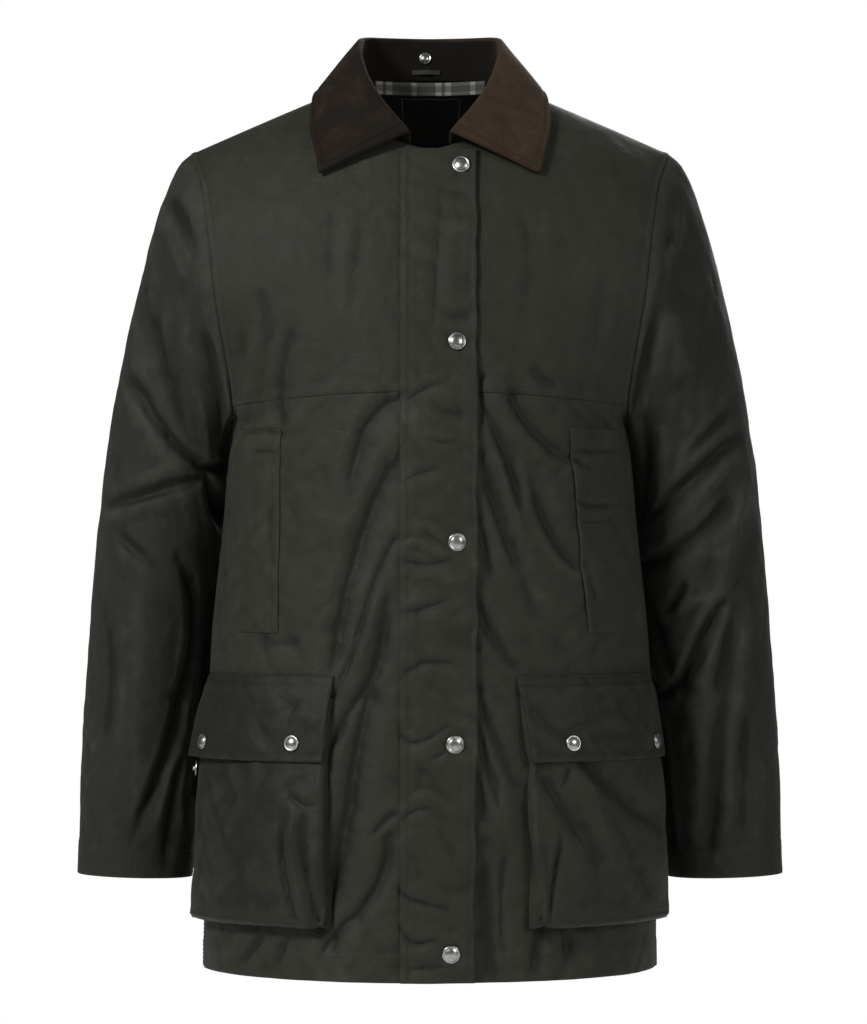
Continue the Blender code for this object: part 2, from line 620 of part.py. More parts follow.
def build_storm_flap(front, finish):
    """The flap over the zip, one strip from the neck to the hem, sewn along the wearer's right."""
    _, points, _ = front
    columns = np.arange(MIDDLE - STORM_LINE, MIDDLE + STORM_LINE + 1)
    last = len(points) - 2
    rows = np.arange(0, last + 1)
    body_part = moved_out(front, rows, columns, np.full((len(rows), len(columns)), LIFT))
    tops = [last + (STORM_TOP - points[last, c, 2]) / (points[last + 1, c, 2] - points[last, c, 2]) for c in columns]
    top = [moved_out(front, [r], [c], [[LIFT]])[0] for r, c in zip(tops, columns)]
    made = np.concatenate([body_part, np.array(top).reshape(1, -1, 3)])
    sewn_on("storm_flap", made, DOUBLE_CLOTH, finish)
    return made


def bag_height(z):
    heights = sorted(BAG_HEIGHTS)
    return np.interp(z, [h[0] for h in heights], [h[1] for h in heights])


def build_bag(name, side, front, finish):
    """A bellows pocket: its face stands off the panel on a gusset at the sides and the foot."""
    _, points, _ = front
    columns = column_range(side, POCKET_LINE, POCKET_OUT).astype(float)
    rows = np.arange(row_of(BAG_FOOT), row_of(FLAP_TOP)).astype(float)
    foot = points[int(rows[0]), int(columns[0])]
    first, last = (np.linalg.norm(points[int(rows[3]), int(a)] - points[int(rows[3]), int(b)])
                   for a, b in ((columns[0], columns[1]), (columns[-1], columns[-2])))
    rise = np.linalg.norm(points[int(rows[1]), int(columns[0])] - foot)
    columns = np.concatenate([columns[:1], [columns[0] + GUSSET / first], columns[1:-1],
                              [columns[-1] - GUSSET / last], columns[-1:]])
    rows = np.concatenate([rows[:1], [rows[0] + GUSSET / rise], rows[1:]])
    heights = np.array([[LIFT + bag_height(read(points, r, c)[2]) for c in columns] for r in rows])
    heights[0] = heights[:, 0] = heights[:, -1] = LIFT
    made = moved_out(front, rows, columns, heights)
    sewn_on(name, made, POCKET_CLOTH, finish)
    return made


def build_flap(name, side, front, finish):
    _, points, _ = front
    columns = column_range(side, POCKET_LINE, POCKET_OUT)
    rows = np.arange(row_of(FLAP_FOOT), row_of(FLAP_TOP) + 1)
    out = np.linspace(1, 0, len(columns)) if side < 0 else np.linspace(0, 1, len(columns))
    heights = []
    for row in rows:
        up = (row - rows[0]) / (rows[-1] - rows[0])
        clear = bag_height(points[row, columns[0], 2]) + POCKET_CLOTH + FLAP_CLEARANCE if row < rows[-1] else 0
        heights.append(LIFT + clear + FLAP_LIFT[side] * (1 - up) * out**2)
    made = moved_out(front, rows, columns, heights)
    sewn_on(name, made, DOUBLE_CLOTH, finish)
    return made


def build_welt(name, side, front, finish):
    columns = column_range(side, WELT_IN, WELT_OUT)
    rows = np.arange(row_of(WELT_FOOT), row_of(ARMPIT_Z) + 1)
    heights = np.full((len(rows), len(columns)), LIFT)
    sewn_on(name, moved_out(front, rows, columns, heights), WELT_CLOTH, finish)


# ---------------------------------------------------------------- collar
def neck_point(turn):
    """A point on the neck seam: turn is 0 at centre back and 180 at centre front, negative on the right."""
    back = abs(turn) < 90
    u = np.linspace(0, NECK_U, 80)
    ends = plain_body(u, neckline(u, back))
    x = NECK_HALF_WIDTH * math.sin(math.radians(abs(turn)))
    return np.array([math.copysign(x, turn), *[np.interp(x, ends[:, 0], ends[:, k]) for k in (1, 2)]])


def collar_turns(front, back):
    """The collar's columns, from the right front end round the back, on the ends of the panels' columns."""
    front_x = front[1][-1, MIDDLE - POCKET_LINE : MIDDLE + POCKET_LINE + 1, 0]
    middle = back[0].shape[1] // 2
    back_x = back[0][-1, middle - BACK_SPANS[0] : middle + BACK_SPANS[0] + 1, 0]
    turn = lambda x: math.degrees(math.asin(min(1, abs(x) / NECK_HALF_WIDTH)))
    end = COLLAR[-1].turn
    halves = []
    for side in (-1, 1):
        half = [turn(x) for x in back_x if side * x >= 0] + [180 - turn(x) for x in front_x if side * x >= 0]
        halves.append(sorted({round(t, 3) for t in half if t < end - 3} | {end}))
    return [-t for t in halves[0][:0:-1]] + halves[1]


def collar_rows(turns):
    """(stand, fall) grids: for each turn, points up the stand, and points down the fall."""
    stand, fall = [], []
    for turn in turns:
        row = spline([s.turn for s in COLLAR], [s[1:] for s in COLLAR], [abs(turn)])[0]
        roll = row[:3] * (math.copysign(1, turn), 1, 1)
        place = np.array([math.copysign(row[3], turn)]), np.array([row[4]])
        edge = plain_body(*place)[0] + body_normals(*place)[0] * FALL_STANDS_OFF
        base = neck_point(turn) + (0, 0, SEAM_GAP + 0.2)
        stand.append([base + (roll - base) * f for f in (0, 0.5, 0.988)])
        bulge = unit(np.array([roll[0], roll[1], 0])) * FALL_BULGE + (0, 0, FALL_BULGE)
        fall.append([roll + (edge - roll) * f + bulge * 4 * f * (1 - f) for f in (0.01, 0.26, 0.51, 0.76, 1)])
    return np.array(stand).transpose(1, 0, 2), np.array(fall).transpose(1, 0, 2)


def build_collar(turns, fall_finish, stand_finish):
    stand, fall = collar_rows(turns)
    sewn_on("collar_stand", stand, CORDUROY, stand_finish)
    sewn_on("collar_fall", fall, CORDUROY, fall_finish)
    return stand


# ---------------------------------------------------------------- inside the back of the neck
def inside_piece(name, back, piece, finish):
    """A cloth patch on the inner face of the back."""
    points, normals = back
    rows = [len(points) - 1 - row for row in piece.rows]
    columns = [points.shape[1] // 2 + column for column in piece.columns]
    heights = np.full((len(rows), len(columns)), -SHELL - piece.lift)
    sewn_on(name, moved_out((None, points, normals), rows, columns, heights), LINING, finish)


def place_on(grid, x, z):
    """(row, column) at which a grid of points passes x and z in the front view."""
    columns = [float(np.interp(x, row[:, 0], np.arange(len(row)))) for row in grid]
    heights = [read(grid, i, column)[2] for i, column in enumerate(columns)]
    row = float(np.interp(z, heights, np.arange(len(grid))))
    return row, float(np.interp(row, np.arange(len(grid)), columns))


def facing(grid, row, column):
    """The direction a grid of points faces at a place."""
    across = read(grid, row, column + 0.3) - read(grid, row, column - 0.3)
    along = read(grid, row + 0.3, column) - read(grid, row - 0.3, column)
    return unit(np.cross(across, along))


def build_loop(stand, finish):
    """The loop that the jacket hangs by, a band sewn to the collar stand at both ends."""
    made = []
    for z in LOOP_HEIGHTS:
        places = [(place_on(stand, x, z), off) for x, off in zip(LOOP_ACROSS, LOOP_STANDS_OFF)]
        made.append([read(stand, *spot) + facing(stand, *spot) * (CORDUROY + LIFT + off) for spot, off in places])
    sewn_on("hanger_loop", np.array(made), LOOP_CLOTH, finish)


# ---------------------------------------------------------------- snap fasteners
def snap(name, grid, row, column, above, finish, profile=SNAP_PROFILE):
    """A turned metal cap, standing above a place of a cloth grid."""
    here, normal = read(grid, row, column), Vector(facing(grid, row, column))
    mesh = bpy.data.meshes.new(name)
    points = [(radius * MM, 0, height * MM) for radius, height in profile]
    mesh.from_pydata(points, [(i, i + 1) for i in range(len(points) - 1)], [])
    mesh.materials.append(finish)
    made = bpy.data.objects.new(name, mesh)
    PARTS.objects.link(made)
    turned = made.modifiers.new("turned", "SCREW")
    turned.steps = turned.render_steps = SNAP_SIDES
    turned.use_merge_vertices = True
    turned.merge_threshold = 0.00005
    turned.use_smooth_shade = True
    made.rotation_euler = normal.to_track_quat("Z", "X").to_euler()
    made.location = Vector(here * MM) + normal * (above + SNAP_CLEARANCE) * MM


# ---------------------------------------------------------------- the jacket
PARTS = start_collection("waxed_cotton_jacket")


def main():
    waxed = material("waxed_cotton", WAX, 0.5)
    sleeve_wax = material("waxed_cotton_sleeve", WAX_DARK, 0.5)
    corduroy = material("brown_corduroy", BROWN, 0.9)
    dark_corduroy = material("dark_corduroy", DARK_BROWN, 0.95)
    check = material("check_lining", CHECK, 0.9)
    label_cloth = material("label_cloth", BLACK, 0.7)
    steel = material("steel", STEEL, 0.3, 1.0)

    girths, columns = front_grid()
    front = (girths, *surface(girths, columns))
    yoke_row = row_of(YOKE_Z)
    for side, word in ((-1, "right"), (1, "left")):
        build_front(f"{word}_front", side, slice(0, yoke_row + 1), front, waxed)
        build_front(f"{word}_front_yoke", side, slice(yoke_row, None), front, waxed)
        build_sleeve(f"{word}_sleeve", side, sleeve_wax)
        build_welt(f"{word}_hand_pocket_welt", side, front, waxed)
        bag = build_bag(f"{word}_pocket_bag", side, front, waxed)
        flap = build_flap(f"{word}_pocket_flap", side, front, waxed)
        for place, spot in zip(("inner", "outer"), FLAP_SNAPS[side]):
            snap(f"{word}_pocket_{place}_snap", flap, *place_on(flap, *spot), DOUBLE_CLOTH, steel)
        if side < 0:
            face = bag[:, 1:-1]
            snap("right_pocket_stud", face, *place_on(face, *BAG_STUD), POCKET_CLOTH, steel, STUD_PROFILE)

    storm_flap = build_storm_flap(front, waxed)
    for number, spot in enumerate(FRONT_SNAPS, 1):
        snap(f"front_snap_{number}", storm_flap, *place_on(storm_flap, *spot), DOUBLE_CLOTH, steel)

    back = build_back(waxed)
    inside_piece("back_neck_lining", back, LINING_STRIP, check)
    inside_piece("label_patch", back, LABEL_PATCH, label_cloth)
    turns = collar_turns(front, back)
    stand = build_collar(turns, corduroy, dark_corduroy)
    centre_back = turns.index(0)
    stand_back = stand[:, centre_back - 3 : centre_back + 4]
    spot = place_on(stand_back, *HOOD_SNAP)
    snap("hood_snap", stand_back, *spot, CORDUROY + 0.4, steel, HOOD_SNAP_PROFILE)
    build_loop(stand_back, sleeve_wax)


main()
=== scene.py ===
"""Waxed cotton jacket: the finished garment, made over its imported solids.

Each cloth piece is a thin wall on its own solid's sections, with the creases, puckers and stitches of
worn waxed cotton. Tables are in millimetres and MM turns them into metres. +X is the wearer's left, -Y
the front and +Z up. The origin is level with the neck points of the shoulder seams.
"""

import math
from collections import namedtuple

import bpy
import numpy as np
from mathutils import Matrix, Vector


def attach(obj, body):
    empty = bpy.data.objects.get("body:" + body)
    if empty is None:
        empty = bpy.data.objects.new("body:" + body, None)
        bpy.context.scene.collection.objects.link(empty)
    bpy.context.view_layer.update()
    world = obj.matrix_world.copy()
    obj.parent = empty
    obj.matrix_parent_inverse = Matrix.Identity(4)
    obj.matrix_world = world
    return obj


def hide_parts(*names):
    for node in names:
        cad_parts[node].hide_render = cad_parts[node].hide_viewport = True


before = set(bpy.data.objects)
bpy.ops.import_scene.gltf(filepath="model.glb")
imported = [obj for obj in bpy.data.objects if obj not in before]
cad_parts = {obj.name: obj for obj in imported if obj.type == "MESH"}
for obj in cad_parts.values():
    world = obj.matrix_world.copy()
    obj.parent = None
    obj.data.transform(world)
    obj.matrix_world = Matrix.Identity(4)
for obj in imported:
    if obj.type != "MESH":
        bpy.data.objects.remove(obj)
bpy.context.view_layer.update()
scene = bpy.context.scene
MM = 0.001

# ================================================================ camera
# A long lens, level with the middle of the jacket and square to its front.
def placed(name, data):
    """A new object in the scene."""
    made = bpy.data.objects.new(name, data)
    scene.collection.objects.link(made)
    return made


camera = placed("camera", bpy.data.cameras.new("camera"))
camera.location = (0.003, -3.86, -0.365)
camera.rotation_euler = (math.radians(90), 0, 0)
camera.data.lens = 159.6
camera.data.sensor_width = 36
scene.camera = camera

# ================================================================ the cut of the body
# The body is cut as two fronts, two front yokes and a one-piece back, in cotton that is dressed with wax.
# Its shape is a set of levels that run from the front hem, over the shoulder, to the back hem: girth is
# the distance on the way, and u runs round from -1 at the right side to 1 at the left side.
HEM_Z = -750.0
BAG_FOOT, FLAP_FOOT, FLAP_TOP, WELT_FOOT, ARMPIT_Z, YOKE_Z = -706.0, -571.0, -500.0, -465.0, -296.0, -266.0
SEAM_GAP = 0.06  # between two pieces at a seam
LIFT = 0.45  # between a patch and the cloth under it
SHELL = 2.0  # waxed cotton and its lining
HALF_ROUND, FRONT_CUT = 280.0, 272.0  # from the middle to a side seam, along the body and as the front is cut
NECK_HALF_WIDTH, NECK_FRONT_REACH, NECK_BACK_REACH = 65.0, 73.0, 50.0
Level = namedtuple("Level", "girth side_x side_z side_y front_z front_y back_z back_y roundness")
LEVELS = (
    Level(0, 192, HEM_Z, 0, HEM_Z, 155, HEM_Z, 150, 3),
    Level(80, 191, -670, 0, -670, 153, -670, 147, 3),
    Level(160, 189.5, -590, 0, -590, 150, -590, 143, 3),
    Level(270, 185.5, -480, 0, -480, 146, -480, 136, 3),
    Level(370, 175.5, -380, 0, -380, 142, -380, 132, 3),
    Level(454, 168, ARMPIT_Z, 0, ARMPIT_Z, 138, ARMPIT_Z, 134, 3),
    Level(484, 165.5, -276, 41, YOKE_Z, 135, -268, 136, 3),
    Level(525, 170, -240, 64, -227, 128, -222, 137, 3),
    Level(578, 179, -188, 74, -175, 117, -160, 131, 3),
    Level(633, 185, -137, 64, -121, 101, -92, 118, 3),
    Level(689, 192, -92, 37, -70, 78, -32, 92, 0.6),
    Level(733, 199, -71, 17, -25, 46, 4, 54, 0.35),
    Level(775, 203, -61, 0, 13.7, 0, 13.7, 0, 0.2),
)
ARMPIT, YOKE_SEAM, SHOULDER = 454.0, 484.0, 775.0
BACK_HEM = 2 * SHOULDER
SHOULDER_TURN = math.radians(60)


def unit(vectors):
    """The vectors, each made one long."""
    return vectors / np.maximum(np.linalg.norm(vectors, axis=-1, keepdims=True), 1e-9)


def smooth(share):
    """An eased step from 0 to 1."""
    share = np.clip(share, 0, 1)
    return share * share * (3 - 2 * share)


def spline(knots, rows, at):
    """The smooth curve through rows, one for each knot, read at each value of at. It never swings past
    its knots. rows is (knots, values), or (knots, points, values) to read each point's own curve."""
    knots, rows, at = np.asarray(knots, float), np.asarray(rows, float), np.asarray(at, float)
    step = np.diff(knots).reshape(-1, *[1] * (rows.ndim - 1))
    slope = np.diff(rows, axis=0) / step
    same_way = slope[:-1] * slope[1:] > 1e-12
    both = np.where(same_way, slope[:-1] + slope[1:], 1)
    between = np.where(same_way, 2 * slope[:-1] * slope[1:] / both, 0)
    tangent = np.concatenate([slope[:1], between, slope[-1:]])
    k = np.clip(np.searchsorted(knots, at, side="right") - 1, 0, len(knots) - 2)
    points = np.arange(len(at))
    pick = (lambda table, i: table[i, points]) if rows.ndim == 3 else (lambda table, i: table[i])
    h = (knots[k + 1] - knots[k])[:, None]
    t = ((at - knots[k]) / h[:, 0])[:, None]
    return (
        (1 + 2 * t) * (1 - t) ** 2 * pick(rows, k)
        + t * (1 - t) ** 2 * h * pick(tangent, k)
        + t * t * (3 - 2 * t) * pick(rows, k + 1)
        + t * t * (t - 1) * h * pick(tangent, k + 1)
    )


def level_points(level, u, back):
    """The points of one level, on its front or its back half."""
    middle_y, middle_z = (level.back_y, level.back_z) if back else (level.front_y, level.front_z)
    turn = math.acos(level.side_y / middle_y) if middle_y else SHOULDER_TURN
    sweep = np.sin(np.abs(u) * turn) / math.sin(turn)
    falls = np.hypot(sweep, level.roundness) - level.roundness
    falls = falls / (math.hypot(1, level.roundness) - level.roundness)
    return np.stack([
        level.side_x * sweep * np.sign(u),
        middle_y * np.cos(u * turn) * (1 if back else -1),
        middle_z + (level.side_z - middle_z) * falls,
    ], axis=-1)


def plain_body(u, girth):
    """The body without creases, at arrays of u and girth."""
    u = np.asarray(u, float)
    front = [level_points(level, u, False) for level in LEVELS]
    back = [level_points(level, u, True) for level in reversed(LEVELS[:-1])]
    knots = [level.girth for level in LEVELS] + [BACK_HEM - level.girth for level in reversed(LEVELS[:-1])]
    return spline(knots, np.array(front + back), girth)


def body_normals(u, girth):
    """The directions in which the plain body faces."""
    small_u, small = 0.004, 1.0
    inside = np.clip(girth, small, BACK_HEM - small)
    across = plain_body(np.clip(u + small_u, -1, 1), inside) - plain_body(np.clip(u - small_u, -1, 1), inside)
    along = plain_body(u, inside + small) - plain_body(u, inside - small)
    return unit(np.cross(across, along))


def halve(low, high, is_over):
    """The place between low and high at which is_over turns true."""
    for _ in range(26):
        middle = (low + high) / 2
        over = is_over(middle)
        low, high = np.where(over, low, middle), np.where(over, middle, high)
    return (low + high) / 2


def u_at(x, girth):
    """The u at which the levels at girth have this x."""
    x, girth = np.broadcast_arrays(*(np.atleast_1d(np.asarray(values, float)) for values in (x, girth)))
    return halve(np.full(x.shape, -1.0), np.full(x.shape, 1.0), lambda u: plain_body(u, girth)[:, 0] > x)


def neckline(u, back):
    """The girth at which each u ends, on the neck seam or, outside it, on the shoulder seam."""
    reach = NECK_BACK_REACH if back else NECK_FRONT_REACH

    def in_neck(climb):
        place = plain_body(u, BACK_HEM - climb if back else climb)
        return (place[:, 0] / NECK_HALF_WIDTH) ** 2 + (place[:, 1] / reach) ** 2 < 1

    u = np.asarray(u, float)
    climb = halve(np.full(u.shape, LEVELS[-4].girth), np.full(u.shape, SHOULDER), in_neck)
    return BACK_HEM - climb if back else climb


NECK_U = float(u_at(NECK_HALF_WIDTH, SHOULDER)[0])

# The armhole, where places are turns: 0 at the armpit, up the front to a half turn at the shoulder tip.
ARMHOLE_GIRTHS = [ARMPIT] + [level.girth for level in LEVELS[6:]]
ARMHOLE_TURNS = [math.radians(turn) for turn in (0, 30, 60, 90, 120, 150, 165, 180)]
ARMHOLE_MITRE = (0.35, 0.28, 0.77)


def from_armpit(turn):
    """The angle between a turn and the armpit, the shorter way round."""
    turn = np.mod(turn, 2 * math.pi)
    return np.minimum(turn, 2 * math.pi - turn)


def armhole_loop(side, turn):
    """The armhole's seam line."""
    climb = np.interp(from_armpit(turn), ARMHOLE_TURNS, ARMHOLE_GIRTHS)
    in_front = np.mod(turn, 2 * math.pi) <= math.pi
    return plain_body(np.full(np.shape(turn), float(side)), np.where(in_front, climb, BACK_HEM - climb))


def armhole_mitre(side, turn):
    """(directions through the wall, directions across the seam), which body and sleeve share."""
    tangent = unit(armhole_loop(side, turn + 0.03) - armhole_loop(side, turn - 0.03))
    lean = np.interp(from_armpit(turn), (0, math.pi / 2, math.pi), ARMHOLE_MITRE)
    through = unit(np.stack([side * lean, -np.sin(turn), -np.cos(turn)], axis=-1))
    across = unit(np.cross(tangent, through))
    return through, across * np.sign(across[:, :1] * side)


# ================================================================ waxed cotton
# A close plain weave, dyed olive and dressed with wax, which lies unevenly: it is darker where it is
# thick, and paler and duller where bending has broken it, on ridges and folded edges. Its creases and
# hollows are painted darker, as painted shade, and the paleness of its ridges is partly painted highlight.
class Finish:
    """A new material, with values for its shader and the calls that put its nodes together."""

    def __init__(self, name, values):
        self.material = bpy.data.materials.new(name)
        self.material.use_nodes = True
        self.tree = self.material.node_tree
        self.shader = self.tree.nodes["Principled BSDF"].inputs
        for socket, value in values.items():
            self.shader[socket].default_value = value
        self.at = self.add("ShaderNodeTexCoord").outputs
        self.normal = None

    def add(self, kind, **settings):
        """A node, with values for its sockets and its properties."""
        node = self.tree.nodes.new(kind)
        for key, value in settings.items():
            if key in node.inputs:
                node.inputs[key].default_value = value
            else:
                setattr(node, key, value)
        return node

    def link(self, source, target):
        self.tree.links.new(source, target)

    def work(self, operation, first, second=0.5):
        """The outcome of one sum on values or sockets."""
        node = self.add("ShaderNodeMath", operation=operation)
        for socket, value in zip(node.inputs, (first, second)):
            if isinstance(value, bpy.types.NodeSocket):
                self.link(value, socket)
            else:
                socket.default_value = value
        return node.outputs[0]

    def total(self, base, *parts):
        """base with a share of each source added, for parts that are (source, share)."""
        for source, share in parts:
            base = self.work("ADD", self.work("MULTIPLY", source, share), base)
        return base

    def noise(self, scale, detail, roughness=0.5, distortion=0.0, kind="FBM"):
        """Cloudy unevenness that stays with the piece."""
        node = self.add("ShaderNodeTexNoise", noise_type=kind, Scale=scale, Detail=detail,
                        Roughness=roughness, Distortion=distortion)
        self.link(self.at["Object"], node.inputs["Vector"])
        return node.outputs["Fac"]

    def threads(self, pitch, direction, distortion=0.0):
        """A ridge every pitch, on the piece as it is cut."""
        node = self.add("ShaderNodeTexWave", bands_direction=direction, Scale=0.31416 / pitch,
                        Distortion=distortion)
        self.link(self.at["UV"], node.inputs["Vector"])
        return node.outputs["Fac"]

    def carried(self, name):
        """A value that the mesh carries at its points."""
        return self.add("ShaderNodeAttribute", attribute_name=name).outputs["Fac"]

    def split(self):
        """The place on the piece as it is cut, as X and Y."""
        node = self.add("ShaderNodeSeparateXYZ")
        self.link(self.at["UV"], node.inputs[0])
        return node.outputs

    def tint(self, source, stops):
        """Colours the piece by a value; stops are (place, colour)."""
        ramp = self.add("ShaderNodeValToRGB")
        ramp.color_ramp.interpolation = "EASE"
        while len(ramp.color_ramp.elements) < len(stops):
            ramp.color_ramp.elements.new(0.5)
        for element, (place, colour) in zip(ramp.color_ramp.elements, stops):
            element.position, element.color = place, (*colour, 1)
        self.link(source, ramp.inputs["Fac"])
        self.link(ramp.outputs["Color"], self.shader["Base Color"])

    def mix(self, share, first, second):
        """Colours the piece between two colours."""
        node = self.add("ShaderNodeMix", data_type="RGBA")
        node.inputs[6].default_value, node.inputs[7].default_value = (*first, 1), (*second, 1)
        self.link(share, node.inputs[0])
        self.link(node.outputs[2], self.shader["Base Color"])

    def relief(self, height, strength, distance):
        """Fine bumps, over those that are there already."""
        bump = self.add("ShaderNodeBump", Strength=strength, Distance=distance)
        self.link(height, bump.inputs["Height"])
        if self.normal is not None:
            self.link(self.normal, bump.inputs["Normal"])
        self.normal = bump.outputs["Normal"]
        self.link(self.normal, self.shader["Normal"])


def waxed_cotton(name, thick_wax_and_shade, cloth, worn_and_highlight, roughness, specular):
    """Waxed cloth, with its colours where the wax is thick, where it is even and where it has broken, and
    with painted shade in its creases and painted highlight on its ridges.
    """
    wax = Finish(name, {"Specular IOR Level": specular, "Sheen Weight": 0.05, "Sheen Roughness": 0.5})
    clouds, blots = wax.noise(11.0, 4.0, 0.6, 0.4), wax.noise(55.0, 6.0, 0.65, 0.6)
    specks, cracks = wax.noise(900.0, 2.0, 0.7), wax.noise(42.0, 3.0, kind="RIDGED_MULTIFRACTAL")
    wear_and_shade = wax.carried("wear_and_shade")
    # The carried value darkens creases and hollows as painted shade, and lightens ridges as worn wax and
    # partly as painted highlight.
    lay = wax.total(0.02, (clouds, 0.42), (blots, 0.42), (specks, 0.24), (wear_and_shade, 0.22))
    wax.tint(lay, ((0.25, thick_wax_and_shade), (0.60, cloth), (1.0, worn_and_highlight)))
    wax.link(wax.total(roughness - 0.08, (blots, 0.16), (wear_and_shade, 0.05)), wax.shader["Roughness"])
    wax.relief(wax.work("ADD", cracks, blots), 0.75, 0.0020)
    wax.relief(wax.work("MULTIPLY", wax.threads(0.0009, "X"), wax.threads(0.0009, "Y")), 0.30, 0.0002)
    wax.relief(specks, 0.25, 0.0003)
    return wax.material


body_wax = waxed_cotton(
    "waxed_cotton", (0.0110, 0.0112, 0.0074), (0.0240, 0.0236, 0.0163), (0.052, 0.050, 0.037), 0.62, 0.20)
# The sleeves' copy of the waxed cotton: its colours are painted darker than the body's, as painted shade.
shaded_sleeve_wax = waxed_cotton(
    "waxed_cotton_sleeve", (0.0100, 0.0099, 0.0076), (0.0212, 0.0207, 0.0162), (0.050, 0.048, 0.038),
    0.64, 0.15)

